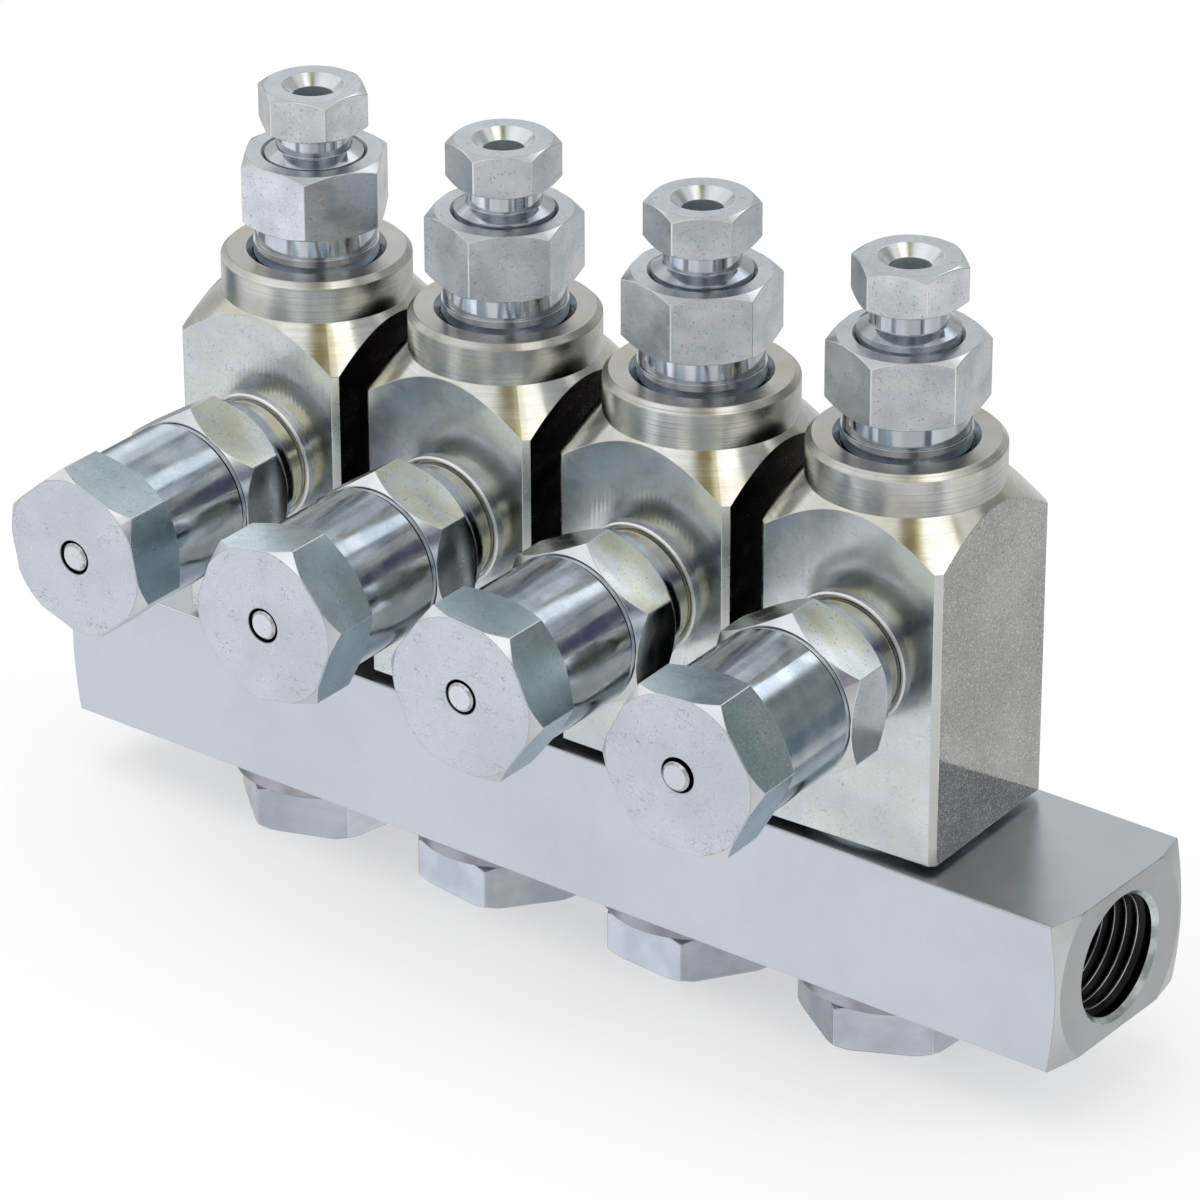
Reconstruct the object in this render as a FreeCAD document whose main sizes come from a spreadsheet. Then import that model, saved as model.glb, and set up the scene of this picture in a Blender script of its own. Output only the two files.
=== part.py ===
# Grease injector manifold: four piston injectors standing on one drilled bar.
#
# Frame: +X along the bar, the injectors' end caps face -Y, +Z up. The origin is the middle of the
# bar's back face, which goes against the machine. Sizes are in millimetres.
#
# Every turned piece is drawn along its own +Z and then placed, so each outline reads as
# (radius, height) pairs written with the names of the size sheet.

import math
import os
import re

import FreeCAD
import Part
import Sketcher

os.makedirs("parts", exist_ok=True)
doc = FreeCAD.newDocument("grease_injector_manifold")
sheet = doc.addObject("Spreadsheet::Sheet", "Sizes")

# Driving dimensions

SIZES = {
    # Bar: drilled along its length, threaded at both ends
    "bar_end_margin": 25.9,
    "bar_width": 22.0,
    "bar_height": 16.0,
    "bar_end_diameter": 20.8,
    "bar_end_angle": 16.0,
    "gallery_diameter": 8.0,
    "inlet_diameter": 13.2,
    "inlet_depth": 13.0,
    "inlet_mouth_diameter": 13.56,
    "injector_pitch": 24.2,
    "row_offset": -0.17,
    # Adapter bolt, hollow, from below through the bar into the injector body
    "bolt_diameter": 10.0,
    "bolt_reach": 11.0,
    "bolt_bore": 5.0,
    "bolt_waist": 7.8,
    "bolt_waist_length": 10.0,
    "bolt_cross_hole": 3.0,
    "bolt_head_inset": 0.085,
    "bolt_head_height": 5.3,
    "bolt_head_top_circle": 17.0,
    "bolt_head_foot_circle": 18.0,
    "bonded_seal_overhang": 0.15,
    "bonded_seal_bore": 10.6,
    "bonded_seal_thickness": 2.0,
    "gasket_inset": 0.9,
    "gasket_bore": 10.8,
    "gasket_thickness": 0.7,
    # Injector body: milled block with a turned shoulder and collar
    "body_width": 20.4,
    "body_depth": 19.8,
    "body_edge_chamfer": 0.6,
    "shoulder_above_piston": 15.53,
    "shoulder_angle": 45.0,
    "collar_diameter": 19.4,
    "collar_height": 4.25,
    "collar_chamfer": 0.6,
    "piston_axis_height": 19.82,
    "inlet_port_depth": 12.0,
    "outlet_port_depth": 11.0,
    "outlet_port_mouth": 14.2,
    "passage_diameter": 3.0,
    "front_port_depth": 7.0,
    "chamber_diameter": 9.2,
    "chamber_depth": 14.5,
    # Outlet adapter, screwed into the collar
    "outlet_thread": 13.0,
    "outlet_reach": 9.5,
    "outlet_band_diameter": 12.76,
    "outlet_band_height": 1.05,
    "outlet_groove_diameter": 12.1,
    "outlet_groove_width": 0.25,
    "outlet_neck_diameter": 12.4,
    "outlet_hex_flats": 13.75,
    "outlet_hex_seat": 3.35,
    "outlet_hex_length": 7.05,
    "nut_port_depth": 6.2,
    "nut_port_mouth": 10.7,
    "ferrule_seat_diameter": 6.8,
    "ferrule_seat_depth": 2.3,
    "tube_diameter": 4.1,
    "tube_socket_depth": 1.7,
    "check_cavity_diameter": 5.6,
    "check_cavity_depth": 3.2,
    # Tube nut and ferrule
    "nut_thread": 10.0,
    "nut_reach": 5.6,
    "nut_thread_above": 0.35,
    "nut_neck_diameter": 7.75,
    "nut_neck_start": 1.05,
    "nut_hex_seat": 3.05,
    "nut_hex_flats": 10.0,
    "nut_hex_length": 4.45,
    "nut_hex_circle": 9.7,
    "nut_mouth_diameter": 6.3,
    "nut_cone_diameter": 6.6,
    "nut_cone_depth": 1.6,
    "ferrule_diameter": 6.0,
    "ferrule_length": 3.2,
    # Piston cylinder: threaded both ends, hexagon in the middle, sealed on the body's face
    "port_seal_diameter": 13.9,
    "port_seal_base": 0.35,
    "port_seal_rim": 0.35,
    "port_seal_rim_bore": 13.1,
    "cylinder_thread": 12.0,
    "cylinder_reach": 6.15,
    "cylinder_neck_diameter": 12.8,
    "cylinder_neck_bevel": 0.7,
    "cylinder_ring_diameter": 14.6,
    "cylinder_ring_width": 0.25,
    "cylinder_groove_diameter": 13.9,
    "cylinder_groove_width": 0.15,
    "cylinder_collar_diameter": 15.0,
    "cylinder_collar_width": 0.9,
    "cylinder_hex_seat": 4.25,
    "cylinder_hex_length": 6.75,
    "cylinder_back_slope": 1.15,
    "cylinder_front_slope": 1.07,
    "cylinder_lip_diameter": 14.6,
    "cylinder_lip_width": 0.25,
    "cylinder_front_thread": 6.0,
    "cylinder_bore": 8.06,
    # End cap, turned from the same hexagon bar
    "hex_bar_flats": 15.8,
    "cap_diameter": 15.8,
    "cap_length": 16.6,
    "cap_hex_length": 6.6,
    "cap_hex_back_bevel": 0.9,
    "cap_face_diameter": 16.2,
    "cap_end_wall": 3.6,
    "spring_chamber_diameter": 9.8,
    "cap_edge_chamfer": 0.25,
    "pin_hole_diameter": 3.54,
    # Piston, its seal, indicator pin and return spring
    "piston_diameter": 8.0,
    "piston_length": 18.0,
    "piston_setback": 1.0,
    "seal_groove_diameter": 5.8,
    "seal_groove_width": 2.3,
    "seal_groove_from_front": 4.0,
    "pin_diameter": 3.0,
    "pin_flange_diameter": 7.4,
    "pin_flange_thickness": 1.2,
    "spring_diameter": 6.6,
    "spring_wire": 0.9,
    "spring_turns": 5.0,
    # Clearances
    "thread_clearance": 0.03,
    "bolt_hole_clearance": 0.2,
    "spring_end_clearance": 0.05,
    "seal_clearance": 0.02,
}

for row, (name, number) in enumerate(SIZES.items(), 1):
    sheet.set(f"A{row}", name)
    sheet.set(f"B{row}", str(number))
    sheet.setAlias(f"B{row}", name)
doc.recompute()

# How each injector stands as it was screwed together, from the bar's left end to its right.
# The body's turn is in degrees from the bar, the other turns are each hexagon's own within the injector,
# the rise is how far the tube nut is backed out, and the pin's is how far its tip stands out of the cap.

STANDS = ("body", "bolt", "adapter", "nut", "cylinder", "cap", "rise", "pin")
INJECTORS = [
    dict(zip(STANDS, (0.5, 18.9, 1.4, 21.6, 31.9, 40.6, -0.35, 0.1))),
    dict(zip(STANDS, (0.4, 51.8, 41.4, 36.5, 34.9, 9.5, 0.0, 0.1))),
    dict(zip(STANDS, (0.5, 55.2, 43.5, 35.1, 24.0, 54.9, 0.0, 0.25))),
    dict(zip(STANDS, (2.3, 24.5, 36.2, 18.1, 28.1, 3.0, 0.45, 0.5))),
]

# Heights above the bar's underside, and other distances that follow from the sizes

BAR_LENGTH = "(3 * injector_pitch + 2 * bar_end_margin)"
BOLT_HEAD_FLATS = "((body_depth - 2 * bolt_head_inset) * sqrt(3) / 2)"
BONDED_SEAL_DIAMETER = "(body_depth + 2 * bonded_seal_overhang)"
GASKET_DIAMETER = "(body_depth - 2 * gasket_inset)"
BODY_FOOT = "(bar_height + gasket_thickness)"
SHOULDER_HEIGHT = "(piston_axis_height + shoulder_above_piston)"
COLLAR_TOP = f"({SHOULDER_HEIGHT} + collar_height)"
PISTON_AXIS = f"({BODY_FOOT} + piston_axis_height)"
OUTLET_TOP = "(outlet_hex_seat + outlet_hex_length)"
CYLINDER_SEAT = "(body_depth / 2 + port_seal_base)"
CAP_SEAT = f"({CYLINDER_SEAT} + cylinder_hex_seat + cylinder_hex_length + cylinder_lip_width)"
STEEP_BEVEL = "0.57735"

subparts = []


def bound(text):
    """Write the size names of a formula as references to the sheet's cells."""
    def cell(word):
        return f"Sizes.{word.group()}" if word.group() in SIZES else word.group()

    return re.sub(r"[a-z_]+", cell, text)


def measure(text):
    """Work out a formula of size names as a plain number."""
    return float(sheet.evalExpression(bound(text)))


def new_body(label):
    body = doc.addObject("PartDesign::Body", label)
    body.Label = label
    return body


def plane_sketch(body, role, name):
    plane = next(feature for feature in body.Origin.OriginFeatures if feature.Role == role)
    sketch = body.newObject("Sketcher::SketchObject", name)
    sketch.AttachmentSupport = [(plane, "")]
    sketch.MapMode = "FlatFace"
    return sketch


def hold(sketch, line, direction, axis, formula):
    """Keep a line's first point at a distance from the sketch's origin, or on its axis."""
    if abs(measure(formula)) < 1e-9:
        sketch.addConstraint(Sketcher.Constraint("PointOnObject", line, 1, axis))
        return
    index = sketch.addConstraint(Sketcher.Constraint(direction, -1, 1, line, 1, measure(formula)))
    sketch.setExpression(f"Constraints[{index}]", bound(formula))


def outline(sketch, corners):
    """Draw a closed outline through corners given as pairs of formulas."""
    points = [FreeCAD.Vector(measure(across), measure(along), 0) for across, along in corners]
    first = sketch.GeometryCount
    for start, end in zip(points, points[1:] + points[:1]):
        sketch.addGeometry(Part.LineSegment(start, end), False)
    for number, (across, along) in enumerate(corners):
        line = first + number
        before = first + (number - 1) % len(corners)
        sketch.addConstraint(Sketcher.Constraint("Coincident", before, 2, line, 1))
        hold(sketch, line, "DistanceX", -2, across)
        hold(sketch, line, "DistanceY", -1, along)


def revolve(body, kind, name, outlines, role="XZ_Plane", axis="V_Axis"):
    """Turn outlines about an axis, as added metal or as a cut."""
    sketch = plane_sketch(body, role, f"{name}_outline")
    for corners in outlines:
        outline(sketch, corners)
    feature = body.newObject(f"PartDesign::{kind}", name)
    feature.Profile = sketch
    feature.ReferenceAxis = (sketch, [axis])
    feature.Angle = 360
    return feature


def hexagon(body, flats, low, length, turn):
    """Add a length of hexagon bar about the piece's axis."""
    prism = body.newObject("PartDesign::AdditivePrism", "hexagon")
    prism.Polygon = 6
    prism.Placement = FreeCAD.Placement(FreeCAD.Vector(), FreeCAD.Rotation(FreeCAD.Vector(0, 0, 1), turn))
    prism.setExpression("Circumradius", bound(f"{flats} / sqrt(3)"))
    prism.setExpression("Height", bound(length))
    prism.setExpression("Placement.Base.z", bound(low))
    return prism


def bevel(flats, circle, end, drop):
    """Outline that turns the corners off a hexagon down to a circle at one end."""
    outside = f"({flats} / sqrt(3) + 1)"
    reach = f"(({outside} - {circle} / 2) * {drop})"
    return [(f"{circle} / 2", end), (outside, end), (outside, f"{end} + {reach}")]


def place_upright(body, number, height):
    """Stand a piece on its injector's vertical axis, turned with the injector."""
    turn = INJECTORS[number - 1]["body"]
    x = f"(({number} - 2.5) * injector_pitch + row_offset)"
    body.Placement = FreeCAD.Placement(FreeCAD.Vector(), FreeCAD.Rotation(FreeCAD.Vector(0, 0, 1), turn))
    body.setExpression("Placement.Base.x", bound(x))
    body.setExpression("Placement.Base.y", bound("-bar_width / 2"))
    body.setExpression("Placement.Base.z", bound(f"{height} - bar_height / 2"))


def place_forward(body, number, distance):
    """Lay a piece on its injector's piston axis, a distance in front of the vertical axis."""
    turn = INJECTORS[number - 1]["body"]
    forward = FreeCAD.Rotation(FreeCAD.Vector(0, 0, 1), turn) * FreeCAD.Rotation(FreeCAD.Vector(1, 0, 0), 90)
    body.Placement = FreeCAD.Placement(FreeCAD.Vector(), forward)
    sine = math.sin(math.radians(turn))
    cosine = math.cos(math.radians(turn))
    row_place = f"({number} - 2.5) * injector_pitch + row_offset"
    body.setExpression("Placement.Base.x", bound(f"{row_place} + {distance} * {sine:.6f}"))
    body.setExpression("Placement.Base.y", bound(f"-bar_width / 2 - {distance} * {cosine:.6f}"))
    body.setExpression("Placement.Base.z", bound(f"{PISTON_AXIS} - bar_height / 2"))


# The bar

def manifold_bar():
    """Bar with a through gallery, a threaded inlet at each end and a cross bore under each injector."""
    body = new_body("manifold_bar")
    box = body.newObject("PartDesign::AdditiveBox", "bar_stock")
    box.setExpression("Length", bound(BAR_LENGTH))
    box.setExpression("Width", bound("bar_width"))
    box.setExpression("Height", bound("bar_height"))
    box.setExpression("Placement.Base.x", bound(f"-{BAR_LENGTH} / 2"))
    box.setExpression("Placement.Base.y", bound("-bar_width / 2"))
    box.setExpression("Placement.Base.z", bound("-bar_height / 2"))

    # Both ends are faced in the lathe, which leaves a shallow cone round the end face
    end = f"{BAR_LENGTH} / 2"
    beyond = "(bar_width + bar_height) / 2"
    depth = f"({beyond} - bar_end_diameter / 2) * tan(bar_end_angle)"
    cones = []
    for side in ("", "-"):
        cones.append([
            (f"{side}({end})", "bar_end_diameter / 2"),
            (f"{side}({end})", beyond),
            (f"{side}({end} - {depth})", beyond),
        ])
    revolve(body, "Groove", "end_cones", cones, axis="H_Axis")

    # Gallery and inlets, as one bored outline along the axis
    mouth = "(inlet_mouth_diameter - inlet_diameter) / 2"
    drill = "(inlet_diameter - gallery_diameter) / 4"
    half = [
        (end, "inlet_mouth_diameter / 2"),
        (f"{end} - {mouth}", "inlet_diameter / 2"),
        (f"{end} - inlet_depth", "inlet_diameter / 2"),
        (f"{end} - inlet_depth - {drill}", "gallery_diameter / 2"),
    ]
    mirrored = [(f"-({along})", radius) for along, radius in reversed(half)]
    revolve(body, "Groove", "gallery", [[(end, "0")] + half + mirrored + [(f"-{end}", "0")]], axis="H_Axis")

    # Cross bores for the adapter bolts
    sketch = plane_sketch(body, "XY_Plane", "cross_bore_circle")
    first = "-1.5 * injector_pitch + row_offset"
    sketch.addGeometry(Part.Circle(FreeCAD.Vector(measure(first), 0, 0),
                                   FreeCAD.Vector(0, 0, 1), measure("bolt_diameter / 2")), False)
    sketch.addConstraint(Sketcher.Constraint("PointOnObject", 0, 3, -1))
    place = sketch.addConstraint(Sketcher.Constraint("DistanceX", -1, 1, 0, 3, measure(first)))
    sketch.setExpression(f"Constraints[{place}]", bound(first))
    width = sketch.addConstraint(Sketcher.Constraint("Diameter", 0, measure("bolt_diameter")))
    sketch.setExpression(f"Constraints[{width}]", bound("bolt_diameter + 2 * bolt_hole_clearance"))
    bore = body.newObject("PartDesign::Pocket", "cross_bore")
    bore.Profile = sketch
    bore.Type = "ThroughAll"
    bore.Midplane = True
    pattern = body.newObject("PartDesign::LinearPattern", "cross_bores")
    pattern.Originals = [bore]
    pattern.Direction = (sketch, ["H_Axis"])
    pattern.setExpression("Length", bound("3 * injector_pitch"))
    pattern.Occurrences = len(INJECTORS)
    body.Tip = pattern
    body.setExpression("Placement.Base.y", bound("-bar_width / 2"))
    subparts.append(body)


# Pieces on each injector's vertical axis

def adapter_bolt(number):
    """Hollow bolt: hexagon head, waisted shank with cross holes, axial bore open at the top."""
    body = new_body(f"adapter_bolt_{number}")
    seat = "-bonded_seal_thickness"
    foot = f"({seat} - bolt_head_height)"
    tip = f"({BODY_FOOT} + bolt_reach)"
    low_waist = "(bar_height - bolt_waist_length) / 2"
    high_waist = f"({low_waist} + bolt_waist_length)"
    hexagon(body, BOLT_HEAD_FLATS, foot, "bolt_head_height", INJECTORS[number - 1]["bolt"])
    shank = [
        ("0", foot),
        ("bolt_diameter / 2", foot),
        ("bolt_diameter / 2", low_waist),
        ("bolt_waist / 2", low_waist),
        ("bolt_waist / 2", high_waist),
        ("bolt_diameter / 2", high_waist),
        ("bolt_diameter / 2", f"{tip} - 0.6"),
        ("bolt_diameter / 2 - 0.6", tip),
        ("0", tip),
    ]
    revolve(body, "Revolution", "shank", [shank])
    bore_end = "(bar_height / 2 - bolt_cross_hole)"
    cuts = [
        [("0", bore_end), ("bolt_bore / 2", f"{bore_end} + 1"), ("bolt_bore / 2", tip), ("0", tip)],
        bevel(BOLT_HEAD_FLATS, "bolt_head_top_circle", seat, f"-{STEEP_BEVEL}"),
        bevel(BOLT_HEAD_FLATS, "bolt_head_foot_circle", foot, STEEP_BEVEL),
    ]
    revolve(body, "Groove", "bore_and_bevels", cuts)
    sketch = plane_sketch(body, "XZ_Plane", "cross_hole_circle")
    sketch.addGeometry(Part.Circle(FreeCAD.Vector(0, measure("bar_height / 2"), 0),
                                   FreeCAD.Vector(0, 0, 1), measure("bolt_cross_hole / 2")), False)
    sketch.addConstraint(Sketcher.Constraint("PointOnObject", 0, 3, -2))
    place = sketch.addConstraint(Sketcher.Constraint("DistanceY", -1, 1, 0, 3, measure("bar_height / 2")))
    sketch.setExpression(f"Constraints[{place}]", bound("bar_height / 2"))
    width = sketch.addConstraint(Sketcher.Constraint("Diameter", 0, measure("bolt_cross_hole")))
    sketch.setExpression(f"Constraints[{width}]", bound("bolt_cross_hole"))
    hole = body.newObject("PartDesign::Pocket", "cross_hole")
    hole.Profile = sketch
    hole.Type = "ThroughAll"
    hole.Midplane = True
    place_upright(body, number, "0")
    return body


def bonded_seal(number):
    """Steel ring with a rubber lip, between the bolt head and the bar."""
    body = new_body(f"bonded_seal_{number}")
    lip = "bonded_seal_bore / 2"
    ring = [
        (lip, "-bonded_seal_thickness * 0.6"),
        (f"{lip} + 1", "-bonded_seal_thickness + 0.1"),
        (f"{lip} + 1.2", "-bonded_seal_thickness"),
        (f"{BONDED_SEAL_DIAMETER} / 2", "-bonded_seal_thickness"),
        (f"{BONDED_SEAL_DIAMETER} / 2", "0"),
        (f"{lip} + 1.2", "0"),
        (f"{lip} + 1", "-0.1"),
        (lip, "-bonded_seal_thickness * 0.4"),
    ]
    revolve(body, "Revolution", "ring", [ring])
    place_upright(body, number, "0")
    return body


def body_gasket(number):
    """Flat gasket between the bar and the injector body."""
    body = new_body(f"body_gasket_{number}")
    ring = [
        ("gasket_bore / 2", "0"),
        (f"{GASKET_DIAMETER} / 2", "0"),
        (f"{GASKET_DIAMETER} / 2", "gasket_thickness"),
        ("gasket_bore / 2", "gasket_thickness"),
    ]
    revolve(body, "Revolution", "ring", [ring])
    place_upright(body, number, "bar_height")
    return body


def injector_body(number):
    """Square block with chamfered edges, a turned shoulder and collar, and its ports."""
    body = new_body(f"injector_body_{number}")
    box = body.newObject("PartDesign::AdditiveBox", "block")
    box.setExpression("Length", bound("body_width"))
    box.setExpression("Width", bound("body_depth"))
    box.setExpression("Height", bound(COLLAR_TOP))
    box.setExpression("Placement.Base.x", bound("-body_width / 2"))
    box.setExpression("Placement.Base.y", bound("-body_depth / 2"))
    doc.recompute()
    upright = [
        f"Edge{index}" for index, edge in enumerate(box.Shape.Edges, 1)
        if abs(edge.tangentAt(edge.FirstParameter).z) > 0.99
    ]
    chamfer = body.newObject("PartDesign::Chamfer", "edge_chamfers")
    chamfer.Base = (box, upright)
    chamfer.setExpression("Size", bound("body_edge_chamfer"))

    # The shoulder cone and collar are turned on the block
    outside = "(body_width + body_depth) / 2"
    fall = f"(({outside} - collar_diameter / 2) * tan(shoulder_angle))"
    shoulder = [
        ("collar_diameter / 2 - collar_chamfer", COLLAR_TOP),
        (outside, COLLAR_TOP),
        (outside, f"{SHOULDER_HEIGHT} - {fall}"),
        ("collar_diameter / 2", SHOULDER_HEIGHT),
        ("collar_diameter / 2", f"{COLLAR_TOP} - collar_chamfer"),
    ]
    outlet_floor = f"({COLLAR_TOP} - outlet_port_depth)"
    outlet_wall = "(outlet_thread / 2 + thread_clearance)"
    inlet_wall = "(bolt_diameter / 2 + thread_clearance)"
    ports = [
        ("0", "0"),
        (f"{inlet_wall} + 0.4", "0"),
        (inlet_wall, "0.4"),
        (inlet_wall, "inlet_port_depth"),
        ("passage_diameter / 2", f"inlet_port_depth + ({inlet_wall} - passage_diameter / 2) * {STEEP_BEVEL}"),
        ("passage_diameter / 2", outlet_floor),
        (outlet_wall, outlet_floor),
        (outlet_wall, f"{COLLAR_TOP} - (outlet_port_mouth / 2 - {outlet_wall})"),
        ("outlet_port_mouth / 2", COLLAR_TOP),
        ("0", COLLAR_TOP),
    ]
    revolve(body, "Groove", "shoulder_and_collar", [shoulder])
    revolve(body, "Groove", "upright_ports", [ports])

    # The piston port, bored from the front face
    face = "-body_depth / 2"
    thread_wall = "(cylinder_thread / 2 + thread_clearance)"
    piston_port = [
        (face, "0"),
        (face, f"{thread_wall} + 0.3"),
        (f"{face} + 0.3", thread_wall),
        (f"{face} + front_port_depth", thread_wall),
        (f"{face} + front_port_depth", "chamber_diameter / 2"),
        (f"{face} + chamber_depth", "chamber_diameter / 2"),
        (f"{face} + chamber_depth + chamber_diameter / 2 * {STEEP_BEVEL}", "0"),
    ]
    port = revolve(body, "Groove", "piston_port", [piston_port], role="YZ_Plane", axis="H_Axis")
    port.Profile[0].setExpression("AttachmentOffset.Base.y", bound("piston_axis_height"))
    place_upright(body, number, BODY_FOOT)
    subparts.append(body)


def outlet_check(number):
    """One-piece rubber check in the outlet port, its flange clamped by the outlet adapter."""
    body = new_body(f"outlet_check_{number}")
    flange = "(outlet_port_depth - outlet_reach)"
    dome = "(check_cavity_diameter / 2 - 0.4)"
    rise = f"({flange} + check_cavity_depth)"
    check = [
        ("passage_diameter / 2", "0"),
        ("outlet_thread / 2 - 0.3", "0"),
        ("outlet_thread / 2 - 0.3", flange),
        (dome, flange),
        (dome, f"{rise} - 1.4"),
        ("0", f"{rise} - 0.4"),
        ("0", f"{rise} - 1.2"),
        ("passage_diameter / 2 - 0.2", f"{rise} - 1.8"),
    ]
    revolve(body, "Revolution", "check", [check])
    place_upright(body, number, f"{BODY_FOOT} + {COLLAR_TOP} - outlet_port_depth")
    subparts.append(body)


def outlet_adapter(number):
    """Hexagon adapter with a grooved neck, a nut port on top and a tube socket below it."""
    body = new_body(f"outlet_adapter_{number}")
    turn = INJECTORS[number - 1]["adapter"]
    hexagon(body, "outlet_hex_flats", "outlet_hex_seat", "outlet_hex_length", turn)
    turned = [
        ("0", "-outlet_reach"),
        ("outlet_thread / 2 - 0.5", "-outlet_reach"),
        ("outlet_thread / 2", "-outlet_reach + 0.5"),
        ("outlet_thread / 2", "-1.2"),
        ("outlet_band_diameter / 2", "-1.2"),
        ("outlet_band_diameter / 2", "outlet_band_height"),
        ("outlet_groove_diameter / 2", "outlet_band_height"),
        ("outlet_groove_diameter / 2", "outlet_band_height + outlet_groove_width"),
        ("outlet_neck_diameter / 2", "outlet_band_height + outlet_groove_width"),
        ("outlet_neck_diameter / 2", "outlet_hex_seat + 1"),
        ("0", "outlet_hex_seat + 1"),
    ]
    revolve(body, "Revolution", "neck_and_thread", [turned])
    port_floor = f"({OUTLET_TOP} - nut_port_depth)"
    port_wall = "(nut_thread / 2 + thread_clearance)"
    socket_top = f"({port_floor} - ferrule_seat_depth)"
    socket_floor = f"({socket_top} - tube_socket_depth)"
    cavity_top = "(-outlet_reach + check_cavity_depth)"
    bore = [
        ("0", "-outlet_reach"),
        ("check_cavity_diameter / 2", "-outlet_reach"),
        ("check_cavity_diameter / 2", cavity_top),
        ("passage_diameter / 2", cavity_top),
        ("passage_diameter / 2", socket_floor),
        ("tube_diameter / 2", socket_floor),
        ("tube_diameter / 2", socket_top),
        ("ferrule_seat_diameter / 2", port_floor),
        (port_wall, port_floor),
        (port_wall, f"{OUTLET_TOP} - (nut_port_mouth / 2 - {port_wall})"),
        ("nut_port_mouth / 2", OUTLET_TOP),
        ("0", OUTLET_TOP),
    ]
    cuts = [
        bore,
        bevel("outlet_hex_flats", "outlet_hex_flats", OUTLET_TOP, f"-{STEEP_BEVEL}"),
        bevel("outlet_hex_flats", "outlet_hex_flats", "outlet_hex_seat", STEEP_BEVEL),
    ]
    revolve(body, "Groove", "bore_and_bevels", cuts)
    place_upright(body, number, f"{BODY_FOOT} + {COLLAR_TOP}")
    subparts.append(body)


def ferrule(number):
    """Double-cone ferrule that the nut presses on the tube."""
    body = new_body(f"ferrule_{number}")
    wall = "tube_diameter / 2"
    sleeve = [
        (wall, "0"),
        (f"{wall} + 0.15", "0"),
        ("ferrule_diameter / 2", "1.6"),
        ("ferrule_diameter / 2", "ferrule_length - 1.1"),
        (f"{wall} + 0.28", "ferrule_length"),
        (wall, "ferrule_length"),
    ]
    revolve(body, "Revolution", "sleeve", [sleeve])
    seat = f"({OUTLET_TOP} - nut_port_depth - ferrule_seat_depth + 0.5)"
    place_upright(body, number, f"{BODY_FOOT} + {COLLAR_TOP} + {seat}")
    return body


def tube_nut(number):
    """Male nut: thread, undercut neck, hexagon, and a countersunk hole for the tube."""
    body = new_body(f"tube_nut_{number}")
    top = "(nut_hex_seat + nut_hex_length)"
    hexagon(body, "nut_hex_flats", "nut_hex_seat", "nut_hex_length", INJECTORS[number - 1]["nut"])
    turned = [
        ("0", "-nut_reach"),
        ("nut_thread / 2 - 0.6", "-nut_reach"),
        ("nut_thread / 2", "-nut_reach + 0.6"),
        ("nut_thread / 2", "nut_thread_above"),
        ("nut_neck_diameter / 2", "nut_neck_start"),
        ("nut_neck_diameter / 2", "nut_hex_seat + 1"),
        ("0", "nut_hex_seat + 1"),
    ]
    revolve(body, "Revolution", "neck_and_thread", [turned])
    bore = [
        ("0", "-nut_reach"),
        ("nut_cone_diameter / 2", "-nut_reach"),
        ("tube_diameter / 2", "-nut_reach + nut_cone_depth"),
        ("tube_diameter / 2", f"{top} - (nut_mouth_diameter - tube_diameter) / 2"),
        ("nut_mouth_diameter / 2", top),
        ("0", top),
    ]
    cuts = [
        bore,
        bevel("nut_hex_flats", "nut_hex_circle", top, f"-{STEEP_BEVEL}"),
        bevel("nut_hex_flats", "nut_hex_circle", "nut_hex_seat", STEEP_BEVEL),
    ]
    revolve(body, "Groove", "bore_and_bevels", cuts)
    rise = INJECTORS[number - 1]["rise"]
    place_upright(body, number, f"{BODY_FOOT} + {COLLAR_TOP} + {OUTLET_TOP} + {rise}")
    return body


# Pieces on each injector's piston axis

def port_seal(number):
    """Sealing ring between the piston cylinder and the body's face, with a raised rim round the neck."""
    body = new_body(f"port_seal_{number}")
    ring = [
        ("cylinder_thread / 2 + 0.1", "0"),
        ("port_seal_diameter / 2", "0"),
        ("port_seal_diameter / 2", "port_seal_base + port_seal_rim"),
        ("port_seal_rim_bore / 2", "port_seal_base + port_seal_rim"),
        ("port_seal_rim_bore / 2", "port_seal_base"),
        ("cylinder_thread / 2 + 0.1", "port_seal_base"),
    ]
    revolve(body, "Revolution", "ring", [ring])
    place_forward(body, number, "body_depth / 2")
    return body


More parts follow.
